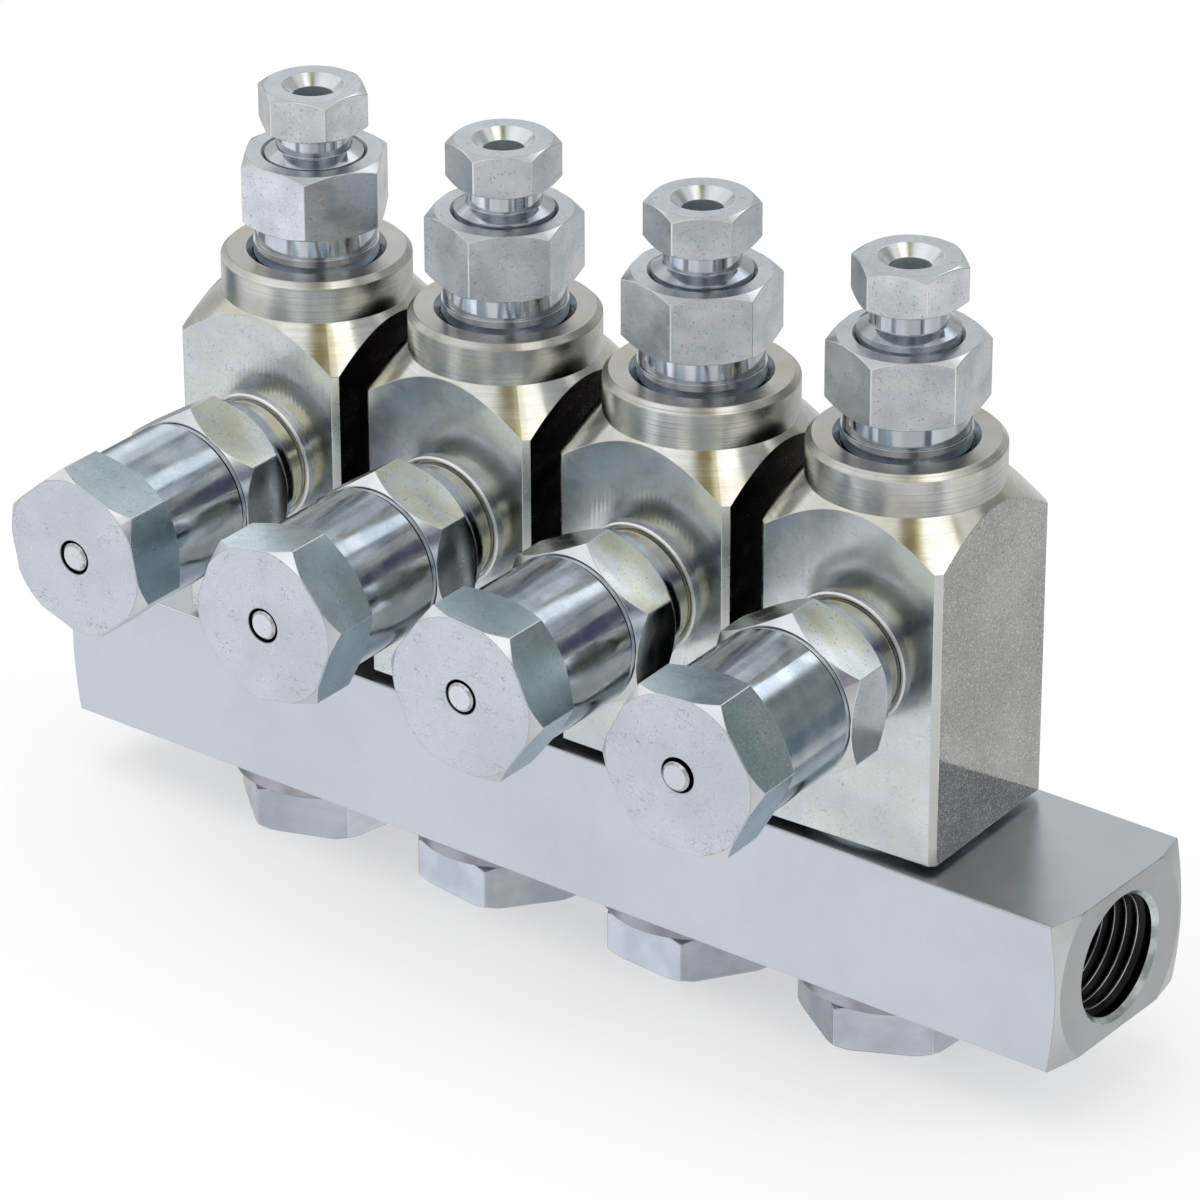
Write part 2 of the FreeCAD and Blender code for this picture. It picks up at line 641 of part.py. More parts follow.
def piston_cylinder(number):
    """Cylinder screwed into the body's face: ringed neck, hexagon, thread for the cap, piston bore."""
    body = new_body(f"piston_cylinder_{number}")
    hex_front = "(cylinder_hex_seat + cylinder_hex_length)"
    lip_front = f"({hex_front} + cylinder_lip_width)"
    front = f"({lip_front} + cylinder_front_thread)"
    collar_back = "(cylinder_hex_seat - cylinder_collar_width)"
    ring_front = f"({collar_back} - cylinder_groove_width)"
    ring_back = f"({ring_front} - cylinder_ring_width)"
    turn = INJECTORS[number - 1]["cylinder"]
    hexagon(body, "hex_bar_flats", "cylinder_hex_seat", "cylinder_hex_length", turn)
    turned = [
        ("0", "-cylinder_reach"),
        ("cylinder_thread / 2 - 0.5", "-cylinder_reach"),
        ("cylinder_thread / 2", "-cylinder_reach + 0.5"),
        ("cylinder_thread / 2", "0"),
        ("cylinder_neck_diameter / 2 - cylinder_neck_bevel / 4", "0"),
        ("cylinder_neck_diameter / 2", "cylinder_neck_bevel"),
        ("cylinder_neck_diameter / 2", ring_back),
        ("cylinder_ring_diameter / 2", ring_back),
        ("cylinder_ring_diameter / 2", ring_front),
        ("cylinder_groove_diameter / 2", ring_front),
        ("cylinder_groove_diameter / 2", collar_back),
        ("cylinder_collar_diameter / 2", collar_back),
        ("cylinder_collar_diameter / 2", "cylinder_hex_seat + 1"),
        ("cylinder_lip_diameter / 2", "cylinder_hex_seat + 1"),
        ("cylinder_lip_diameter / 2", lip_front),
        ("cylinder_thread / 2", lip_front),
        ("cylinder_thread / 2", f"{front} - 0.5"),
        ("cylinder_thread / 2 - 0.5", front),
        ("0", front),
    ]
    revolve(body, "Revolution", "neck_and_threads", [turned])
    cuts = [
        [
            ("0", "-cylinder_reach"),
            ("cylinder_bore / 2", "-cylinder_reach"),
            ("cylinder_bore / 2", front),
            ("0", front),
        ],
        bevel("hex_bar_flats", "hex_bar_flats", hex_front, "-cylinder_front_slope"),
        bevel("hex_bar_flats", "cylinder_collar_diameter", "cylinder_hex_seat", "cylinder_back_slope"),
    ]
    revolve(body, "Groove", "bore_and_bevels", cuts)
    place_forward(body, number, CYLINDER_SEAT)
    subparts.append(body)


def end_cap(number):
    """Cap: round skirt over the cylinder's thread, hexagon end, faced end wall with the pin's hole."""
    body = new_body(f"end_cap_{number}")
    hex_seat = "(cap_length - cap_hex_length)"
    wall = "(cap_length - cap_end_wall)"
    hexagon(body, "hex_bar_flats", hex_seat, "cap_hex_length", INJECTORS[number - 1]["cap"])
    skirt = [
        ("0", "0"),
        ("cap_diameter / 2 - cap_edge_chamfer", "0"),
        ("cap_diameter / 2", "cap_edge_chamfer"),
        ("cap_diameter / 2", f"{hex_seat} + 1"),
        ("0", f"{hex_seat} + 1"),
    ]
    revolve(body, "Revolution", "skirt", [skirt])
    corner = "(hex_bar_flats / sqrt(3) - cap_diameter / 2)"
    thread_wall = "(cylinder_thread / 2 + thread_clearance)"
    bore = [
        ("0", "0"),
        (f"{thread_wall} + 0.3", "0"),
        (thread_wall, "0.3"),
        (thread_wall, "cylinder_front_thread + 0.5"),
        ("spring_chamber_diameter / 2", "cylinder_front_thread + 0.5"),
        ("spring_chamber_diameter / 2", wall),
        ("pin_hole_diameter / 2", wall),
        ("pin_hole_diameter / 2", "cap_length"),
        ("0", "cap_length"),
    ]
    cuts = [
        bore,
        bevel("hex_bar_flats", "cap_face_diameter", "cap_length", "-0.9"),
        bevel("hex_bar_flats", "cap_diameter", hex_seat, f"(cap_hex_back_bevel / {corner})"),
    ]
    revolve(body, "Groove", "bore_and_bevels", cuts)
    place_forward(body, number, CAP_SEAT)
    subparts.append(body)


def piston(number):
    """Metering piston with a seal groove."""
    body = new_body(f"piston_{number}")
    radius = "piston_diameter / 2"
    groove_front = "(-seal_groove_from_front)"
    groove_back = f"({groove_front} - seal_groove_width)"
    turned = [
        ("0", "-piston_length"),
        (f"{radius} - 0.3", "-piston_length"),
        (radius, "-piston_length + 0.3"),
        (radius, groove_back),
        ("seal_groove_diameter / 2", groove_back),
        ("seal_groove_diameter / 2", groove_front),
        (radius, groove_front),
        (radius, "-0.3"),
        (f"{radius} - 0.3", "0"),
        ("0", "0"),
    ]
    revolve(body, "Revolution", "piston", [turned])
    place_forward(body, number, f"({CAP_SEAT} - piston_setback)")
    subparts.append(body)


def piston_seal(number):
    """Rubber ring in the piston's groove."""
    body = new_body(f"piston_seal_{number}")
    inner = "(seal_groove_diameter / 2 + seal_clearance)"
    outer = "(cylinder_bore / 2 - seal_clearance)"
    front = "-(seal_groove_from_front + 0.15)"
    back = "-(seal_groove_from_front + seal_groove_width - 0.15)"
    ring = [
        (inner, f"{back} + 0.3"),
        (f"{inner} + 0.3", back),
        (f"{outer} - 0.3", back),
        (outer, f"{back} + 0.3"),
        (outer, f"{front} - 0.3"),
        (f"{outer} - 0.3", front),
        (f"{inner} + 0.3", front),
        (inner, f"{front} - 0.3"),
    ]
    revolve(body, "Revolution", "ring", [ring])
    place_forward(body, number, f"({CAP_SEAT} - piston_setback)")
    subparts.append(body)


def indicator_pin(number):
    """Pin with a spring flange on the piston's face; its rounded tip stands in the cap's hole."""
    body = new_body(f"indicator_pin_{number}")
    tip = f"(piston_setback + cap_length + {INJECTORS[number - 1]['pin']})"
    turned = [
        ("0", "0"),
        ("pin_flange_diameter / 2", "0"),
        ("pin_flange_diameter / 2", "pin_flange_thickness"),
        ("pin_diameter / 2", "pin_flange_thickness"),
        ("pin_diameter / 2", f"{tip} - 0.35"),
        ("pin_diameter / 2 - 0.15", f"{tip} - 0.15"),
        ("pin_diameter / 2 - 0.5", f"{tip} - 0.03"),
        ("0", tip),
    ]
    revolve(body, "Revolution", "pin", [turned])
    place_forward(body, number, f"({CAP_SEAT} - piston_setback)")
    subparts.append(body)


def return_spring(number):
    """Coil spring round the pin, between the pin's flange and the cap's end wall."""
    seat = "(pin_flange_thickness - piston_setback + spring_end_clearance + spring_wire / 2)"
    height = f"(cap_length - cap_end_wall - spring_end_clearance - spring_wire / 2 - {seat})"
    helix = doc.addObject("Part::Helix", f"spring_path_{number}")
    helix.setExpression("Height", bound(height))
    helix.setExpression("Pitch", bound(f"{height} / spring_turns"))
    helix.setExpression("Radius", bound("spring_diameter / 2"))
    wire = doc.addObject("Part::RegularPolygon", f"spring_wire_{number}")
    wire.Polygon = 8
    wire.Placement = FreeCAD.Placement(FreeCAD.Vector(), FreeCAD.Rotation(FreeCAD.Vector(1, 0, 0), 90))
    wire.setExpression("Circumradius", bound("spring_wire / 2"))
    wire.setExpression("Placement.Base.x", bound("spring_diameter / 2"))
    spring = doc.addObject("Part::Sweep", f"return_spring_{number}")
    spring.Label = f"return_spring_{number}"
    spring.Sections = [wire]
    spring.Spine = (helix, ["Edge1"])
    spring.Solid = True
    spring.Frenet = True
    place_forward(spring, number, f"({CAP_SEAT} + {seat})")
    subparts.append(spring)


def group(label, pieces):
    """Keep identical small pieces together as separate solids of one sub-part."""
    compound = doc.addObject("Part::Compound", label)
    compound.Label = label
    compound.Links = pieces
    subparts.append(compound)


# Build the assembly

manifold_bar()
numbers = range(1, len(INJECTORS) + 1)
for label, make in (
    ("adapter_bolts", adapter_bolt),
    ("bonded_seals", bonded_seal),
    ("body_gaskets", body_gasket),
    ("ferrules", ferrule),
    ("tube_nuts", tube_nut),
    ("port_seals", port_seal),
):
    group(label, [make(number) for number in numbers])
for number in numbers:
    injector_body(number)
    outlet_check(number)
    outlet_adapter(number)
    piston_cylinder(number)
    end_cap(number)
    piston(number)
    piston_seal(number)
    indicator_pin(number)
    return_spring(number)
doc.recompute()

# Check and write

for item in doc.Objects:
    if "Invalid" in item.State or "Error" in item.State:
        raise RuntimeError(f"{item.Label} did not build: {item.State}")
for item in subparts:
    if item.Shape.isNull() or not item.Shape.isValid():
        raise RuntimeError(f"{item.Label} has no valid shape")
for item in subparts:
    item.Shape.exportStep(f"parts/{item.Label}.step")
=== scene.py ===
import math

import bmesh
import bpy
import numpy as np
from mathutils import Matrix, Vector


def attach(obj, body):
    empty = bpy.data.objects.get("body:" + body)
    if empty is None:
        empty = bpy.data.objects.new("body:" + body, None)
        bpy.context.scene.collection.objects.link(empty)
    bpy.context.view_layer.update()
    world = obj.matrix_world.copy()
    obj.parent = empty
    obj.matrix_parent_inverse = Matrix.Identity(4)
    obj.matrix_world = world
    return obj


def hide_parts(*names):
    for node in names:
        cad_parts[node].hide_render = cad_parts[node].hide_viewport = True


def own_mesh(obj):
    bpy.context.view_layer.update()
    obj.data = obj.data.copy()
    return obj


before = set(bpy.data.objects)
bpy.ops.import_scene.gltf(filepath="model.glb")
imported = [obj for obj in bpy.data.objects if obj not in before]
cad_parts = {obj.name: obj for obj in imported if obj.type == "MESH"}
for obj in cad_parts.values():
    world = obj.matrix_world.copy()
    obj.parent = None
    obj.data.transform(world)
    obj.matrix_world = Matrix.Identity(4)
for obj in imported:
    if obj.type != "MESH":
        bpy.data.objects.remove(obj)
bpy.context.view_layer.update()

MM = 0.001

# Sizes in millimetres, the same as in the part's source. A piece's own heights are counted from its seat.

PITCH = 24.2
ROW_OFFSET = -0.17
BAR_LENGTH = 124.4
BAR_WIDTH = 22.0
BAR_HEIGHT = 16.0
INLET_RADIUS = 6.6
INLET_DEPTH = 13.0
BOLT_FLATS = 17.0
BOLT_FOOT = -7.3
BLOCK_WIDTH = 20.4
BLOCK_DEPTH = 19.8
BODY_FOOT = 16.7
COLLAR_TOP = 39.6
PISTON_AXIS = 36.52
PASSAGE_RADIUS = 1.5
ADAPTER_FLATS = 13.75
OUTLET_TOP = 10.4
NUT_FLATS = 10.0
TUBE_RADIUS = 2.05
CAP_FLATS = 15.8
PORT_SEAL_SEAT = BLOCK_DEPTH / 2
CYLINDER_SEAT = 10.25
CAP_SEAT = 21.75
CAP_LENGTH = 16.6
CAP_WALL = 3.6
PISTON_FACE = 20.75
PIN_FLANGE = 1.2
SPRING_GAP = 0.05
SPRING_FOOT = PISTON_FACE + PIN_FLANGE + SPRING_GAP
SPRING_LENGTH = CAP_SEAT + CAP_LENGTH - CAP_WALL - SPRING_GAP - SPRING_FOOT

# Rise of a 30 degree bevel for each millimetre across
BEVEL_SLOPE = 0.57735

# How each injector stands, from the bar's left end to its right: its own turn on the bar, its hexagons'
# turns in degrees, its nut's rise and how far its indicator pin stands out of the cap

STANDS = ("body", "bolt", "adapter", "nut", "cylinder", "cap", "rise", "pin")
INJECTORS = [dict(zip(STANDS, row)) for row in (
    (0.5, 18.9, 1.4, 21.6, 31.9, 40.6, -0.35, 0.1),
    (0.4, 51.8, 41.4, 36.5, 34.9, 9.5, 0.0, 0.1),
    (0.5, 55.2, 43.5, 35.1, 24.0, 54.9, 0.0, 0.25),
    (2.3, 24.5, 36.2, 18.1, 28.1, 3.0, 0.45, 0.5),
)]


def injector_x(number):
    middle = (1 + len(INJECTORS)) / 2
    return (number - middle) * PITCH + ROW_OFFSET


def upright(number, height):
    """Place on an injector's vertical axis, at a height above the bar's underside."""
    turn = math.radians(INJECTORS[number - 1]["body"])
    place = Vector((injector_x(number), -BAR_WIDTH / 2, height - BAR_HEIGHT / 2)) * MM
    return Matrix.Translation(place) @ Matrix.Rotation(turn, 4, "Z")


def forward(number, distance):
    """Place on an injector's piston axis, at a distance in front of its vertical axis."""
    turn = math.radians(INJECTORS[number - 1]["body"])
    place = Vector((
        injector_x(number) + distance * math.sin(turn),
        -BAR_WIDTH / 2 - distance * math.cos(turn),
        PISTON_AXIS - BAR_HEIGHT / 2,
    )) * MM
    return Matrix.Translation(place) @ Matrix.Rotation(turn, 4, "Z") @ Matrix.Rotation(math.pi / 2, 4, "X")


# Outlines across an axis: angles and radii of the columns that a piece is built from

ARC_STEPS = 4
SMALL_ROUNDING = 0.05
SMALL_STEPS = 3


def round_columns(count=96):
    angles = np.arange(count) * 2 * math.pi / count
    return angles, np.ones(count)


def rounded_outline(corners, rounding, steps):
    """Columns round a convex outline whose corners are rounded, with so many steps to each 10 mm of side."""
    corners = np.array(corners, float)
    arcs = []
    for number, corner in enumerate(corners):
        back = corners[number - 1] - corner
        ahead = corners[(number + 1) % len(corners)] - corner
        sides = np.linalg.norm(back), np.linalg.norm(ahead)
        back, ahead = back / sides[0], ahead / sides[1]
        half = math.acos(float(np.clip(back @ ahead, -1, 1))) / 2
        reach = min(rounding / math.tan(half), 0.35 * min(sides))
        start, end = corner + back * reach, corner + ahead * reach
        shares = [step / ARC_STEPS for step in range(ARC_STEPS + 1)]
        arcs.append([blend_corner(start, corner, end, math.sin(half), share) for share in shares])
    points = []
    for number, arc in enumerate(arcs):
        points += arc
        start, end = arc[-1], arcs[(number + 1) % len(arcs)][0]
        span = np.linalg.norm(end - start)
        count = max(1, round(steps * span / 10))
        points += [start + (end - start) * step / (count + 1) for step in range(1, count + 1)]
    points = np.array(points)
    angles = np.arctan2(points[:, 1], points[:, 0])
    return angles, np.linalg.norm(points, axis=1)


def blend_corner(start, corner, end, weight, along):
    """A point on the circular arc that rounds a corner."""
    first, middle, last = (1 - along) ** 2, 2 * along * (1 - along) * weight, along ** 2
    return (start * first + corner * middle + end * last) / (first + middle + last)


def hexagon(flats, turn, rounding=0.16, steps=16):
    reach = flats / math.sqrt(3)
    angles = [math.radians(turn + 60 * corner) for corner in range(6)]
    corners = [(reach * math.cos(angle), reach * math.sin(angle)) for angle in angles]
    return rounded_outline(corners, rounding, steps)


# Profiles: corners (radius, height, rounding, material) going up the outside and down the bore.
# Each radius and height may differ from column to column. A list of two corners is a bevel that
# runs out to nothing where the outline lies inside its circle.

def arc_points(corner, before, after, rounding, count):
    """The points that round a corner, and how far along the sides they would reach with room enough."""
    back, ahead = before - corner, after - corner
    back_length = np.linalg.norm(back, axis=1, keepdims=True)
    ahead_length = np.linalg.norm(ahead, axis=1, keepdims=True)
    back = back / np.maximum(back_length, 1e-9)
    ahead = ahead / np.maximum(ahead_length, 1e-9)
    cosine = np.clip((back * ahead).sum(1, keepdims=True), -1, 1)
    half = np.arccos(cosine) / 2
    wanted = rounding / np.maximum(np.tan(half), 1e-6)
    reach = np.minimum(wanted, 0.45 * np.minimum(back_length, ahead_length))
    weight = np.sin(half)
    start, end = corner + back * reach, corner + ahead * reach
    points = [blend_corner(start, corner, end, weight, step / (count - 1)) for step in range(count)]
    return np.array(points), wanted


def meeting_point(first, before, second, after):
    """Where the sides before and after a bevel would meet without it."""
    a, b = before - first, after - second
    gap = second - first
    cross = a[:, 0] * b[:, 1] - a[:, 1] * b[:, 0]
    cross = np.where(np.abs(cross) < 1e-9, 1e-9, cross)
    along = (gap[:, 0] * b[:, 1] - gap[:, 1] * b[:, 0]) / cross
    return first + a * along[:, None]


def rounded_bevel(first, second, before, after, rounding):
    """A bevel's two rounded corners, drawn together into one where the bevel runs out."""
    one, one_reach = arc_points(first, before, second, rounding, ARC_STEPS)
    two, two_reach = arc_points(second, first, after, rounding, ARC_STEPS)
    apart = np.concatenate([one, two])
    corner = meeting_point(first, before, second, after)
    joined, _ = arc_points(corner, before, after, rounding, 2 * ARC_STEPS)
    width = np.linalg.norm(second - first, axis=1, keepdims=True)
    share = np.clip(width / (one_reach + two_reach + 1e-9), 0, 1)
    share = share * share * (3 - 2 * share)
    return apart * share + joined * (1 - share)


def rounded_profile(profile, columns, closed):
    """Every column's rounded profile, and the material of each step along it."""
    def spread(item):
        return np.stack([np.broadcast_to(np.asarray(value, float), columns) for value in item[:2]], 1)

    flat, starts = [], []
    for item in profile:
        starts.append(len(flat))
        flat += [item] if isinstance(item, tuple) else item
    places = [spread(item) for item in flat]
    rows, materials = [], []
    total = len(flat)
    for item, start in zip(profile, starts):
        bevel = isinstance(item, list)
        last = start + 1 if bevel else start
        before, after = places[start - 1], places[(last + 1) % total]
        if bevel:
            points = rounded_bevel(places[start], places[last], before, after, item[0][2])
            materials += [item[0][3]] * ARC_STEPS + [item[1][3]] * ARC_STEPS
        elif not closed and (start == 0 or last == total - 1):
            points = places[start][None]
            materials.append(item[3])
        else:
            count = ARC_STEPS + 1 if item[2] > SMALL_ROUNDING else SMALL_STEPS
            points, _ = arc_points(places[start], before, after, item[2], count)
            materials += [item[3]] * count
        rows.append(points)
    return np.concatenate(rows), materials


def weigh_normals(mesh):
    """Smooth normals that lean towards the larger faces, so flats stay flat beside rounded edges."""
    count = len(mesh.polygons)
    normals = np.empty(count * 3)
    areas = np.empty(count)
    totals = np.empty(count, int)
    corners = np.empty(len(mesh.loops), int)
    mesh.polygons.foreach_get("normal", normals)
    mesh.polygons.foreach_get("area", areas)
    mesh.polygons.foreach_get("loop_total", totals)
    mesh.loops.foreach_get("vertex_index", corners)
    weighted = normals.reshape(-1, 3) * areas[:, None]
    sums = np.zeros((len(mesh.vertices), 3))
    np.add.at(sums, corners, np.repeat(weighted, totals, axis=0))
    sums /= np.maximum(np.linalg.norm(sums, axis=1, keepdims=True), 1e-20)
    mesh.normals_split_custom_set_from_vertices(sums.tolist())


def beyond(radii, circle, slope):
    """A hexagon's outline kept inside a circle, and how far a bevel falls outside it."""
    return np.minimum(radii, circle), np.maximum(radii - circle, 0) * slope


def turned_faces(rings, columns, closed):
    """Faces between rings of points, from each ring to the next."""
    faces = []
    for ring in range(rings if closed else rings - 1):
        low, high = ring * columns, (ring + 1) % rings * columns
        for column in range(columns):
            beside = (column + 1) % columns
            faces.append((low + column, low + beside, high + beside, high + column))
    return faces


def add_object(name, data):
    thing = bpy.data.objects.new(name, data)
    bpy.context.scene.collection.objects.link(thing)
    return thing


def make_object(name, points, faces, face_materials, matrix):
    """Build a smooth piece from points in millimetres, with points that coincide made one."""
    coincide = 2e-7
    mesh = bpy.data.meshes.new(name)
    mesh.from_pydata([tuple(point) for point in points * MM], [], faces)
    materials = list(dict.fromkeys(face_materials))
    for material in materials:
        mesh.materials.append(material)
    mesh.polygons.foreach_set("material_index", [materials.index(material) for material in face_materials])
    soft = bmesh.new()
    soft.from_mesh(mesh)
    bmesh.ops.remove_doubles(soft, verts=soft.verts, dist=coincide)
    soft.to_mesh(mesh)
    soft.free()
    mesh.polygons.foreach_set("use_smooth", [True] * len(mesh.polygons))
    mesh.update()
    piece = add_object(name, mesh)
    piece.matrix_world = matrix
    return piece


def turned(name, profile, outline, matrix, extra=None):
    """Build a turned or hexagonal piece along its own axis, without a bore if its profile starts there."""
    angles, radii = outline
    order = np.argsort(angles)
    angles, radii = angles[order], radii[order]
    corners = profile(radii)
    closed = corners[0][0] > 0
    rows, row_materials = rounded_profile(corners, len(angles), closed)
    across, along = rows[..., 0], rows[..., 1]
    points = np.stack([across * np.cos(angles), across * np.sin(angles), along], -1).reshape(-1, 3)
    faces = turned_faces(len(rows), len(angles), closed)
    materials = [row_materials[number // len(angles)] for number in range(len(faces))]
    if extra is not None:
        more_points, more_faces, more_materials = extra
        faces += [tuple(corner + len(points) for corner in face) for face in more_faces]
        materials += more_materials
        points = np.concatenate([points, more_points])
    piece = make_object(name, points, faces, materials, matrix)
    weigh_normals(piece.data)
    return piece


def dress(piece, body, slot, *nodes):
    """Hide the CAD nodes that the piece stands in for, hang it on its body, and number it so that its marks
    differ from its likes'.
    """
    piece.pass_index = int(piece.name[-1]) if piece.name[-1].isdigit() else 0
    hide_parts(*nodes)
    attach(piece, body)


def thread_ridge(wall, crest, pitch, start, end):
    """Points, faces and materials of a helical thread ridge standing inwards from a bore's wall."""
    per_turn, run_in = 72, 24
    sunk, wear = 0.02, 0.14
    flank, tip, worn_tip = 0.42, -0.10, 0.04
    total = int((end - start) / pitch * per_turn)
    points, faces, materials = [], [], []
    for step in range(total + 1):
        angle = step * 2 * math.pi / per_turn
        middle = start + step * pitch / per_turn
        fade = min(1.0, step / run_in, (total - step) / run_in)
        top = wall + (crest - wall) * fade
        foot, worn = wall + sunk, top + wear * fade
        ridge = ((foot, -flank), (top, tip), (top, tip), (worn, worn_tip), (worn, worn_tip), (foot, flank))
        for radius, along in ridge:
            points.append((radius * math.cos(angle), radius * math.sin(angle), middle + along * pitch))
        if step:
            # Flanks painted dark as shade, crests painted white as a highlight
            for side, material in ((0, THREAD_SHADE), (2, CREST_HIGHLIGHT), (4, THREAD_SHADE)):
                low = (step - 1) * len(ridge) + side
                high = low + len(ridge)
                faces.append((low, low + 1, high + 1, high))
                materials.append(material)
    return np.array(points), faces, materials


# Materials

class Tree:
    """Short calls for the nodes that the materials share."""

    def __init__(self, tree):
        self.tree = tree

    def add(self, kind, **settings):
        node = self.tree.nodes.new(kind)
        for key, value in settings.items():
            setattr(node, key, value)
        return node

    def put(self, socket, value):
        if isinstance(value, bpy.types.NodeSocket):
            self.tree.links.new(value, socket)
        else:
            socket.default_value = value

    def math(self, operation, *values):
        node = self.add("ShaderNodeMath", operation=operation)
        for socket, value in zip(node.inputs, values):
            self.put(socket, value)
        return node.outputs[0]

    def vector(self, operation, first, second):
        node = self.add("ShaderNodeVectorMath", operation=operation)
        self.put(node.inputs[0], first)
        self.put(node.inputs[1], second)
        return node.outputs[0]

    def length(self, x, y):
        squares = self.math("ADD", self.math("MULTIPLY", x, x), self.math("MULTIPLY", y, y))
        return self.math("SQRT", squares)

    def position(self):
        """The point on the piece, in millimetres along its own axes."""
        metres = self.add("ShaderNodeTexCoord").outputs["Object"]
        return self.vector("MULTIPLY", metres, (1000, 1000, 1000))

    def shift(self):
        """A distance for each piece's number, so that like pieces are marked differently."""
        return self.math("MULTIPLY", self.add("ShaderNodeObjectInfo").outputs["Object Index"], 17.3)

    def parts(self, vector):
        node = self.add("ShaderNodeSeparateXYZ")
        self.put(node.inputs[0], vector)
        return node.outputs

    def noise(self, place, scale, detail=2.0, roughness=0.5, dimensions="3D"):
        node = self.add("ShaderNodeTexNoise", noise_dimensions=dimensions)
        self.put(node.inputs["W" if dimensions == "1D" else "Vector"], place)
        node.inputs["Scale"].default_value = scale
        node.inputs["Detail"].default_value = detail
        node.inputs["Roughness"].default_value = roughness
        return node.outputs[0]

    def lines(self, along, scale, detail=4.0, roughness=0.65):
        """Noise that changes along one distance only, as tool marks do."""
        return self.noise(along, scale, detail, roughness, "1D")

    def stretched_noise(self, point, stretch, scale, detail):
        return self.noise(self.vector("MULTIPLY", point, stretch), scale, detail)

    def ramp(self, value, *stops):
        node = self.add("ShaderNodeValToRGB")
        elements = node.color_ramp.elements
        for number, (place, colour) in enumerate(stops):
            element = elements[number] if number < 2 else elements.new(place)
            element.position = place
            element.color = (*colour, 1) if isinstance(colour, tuple) else (colour, colour, colour, 1)
        self.put(node.inputs[0], value)
        return node.outputs[0]

    def mix(self, share, first, second, blend="MIX"):
        node = self.add("ShaderNodeMix", data_type="RGBA", blend_type=blend)
        self.put(node.inputs[0], share)
        self.put(node.inputs[6], (*first, 1) if isinstance(first, tuple) else first)
        self.put(node.inputs[7], (*second, 1) if isinstance(second, tuple) else second)
        return node.outputs[2]

    def bump(self, height, depth, normal=None):
        """Relief of a depth in millimetres."""
        node = self.add("ShaderNodeBump")
        node.inputs["Distance"].default_value = depth * MM
        node.inputs["Strength"].default_value = 1.0
        self.put(node.inputs["Height"], height)
        if normal is not None:
            self.put(node.inputs["Normal"], normal)
        return node.outputs[0]


BRIGHT_SPECK = (0.93, 0.93, 0.92)
DARK_PIT = (0.25, 0.25, 0.24)
SCRATCH = (0.22, 0.23, 0.25)
# The tone of the painted glints
GLINT_TONE = (0.82, 0.82, 0.80)


def new_material(name):
    material = bpy.data.materials.new(name)
    material.use_nodes = True
    material.node_tree.nodes.clear()
    tree = Tree(material.node_tree)
    output = tree.add("ShaderNodeOutputMaterial")
    surface = tree.add("ShaderNodeBsdfPrincipled")
    tree.put(output.inputs[0], surface.outputs[0])
    return material, tree, surface


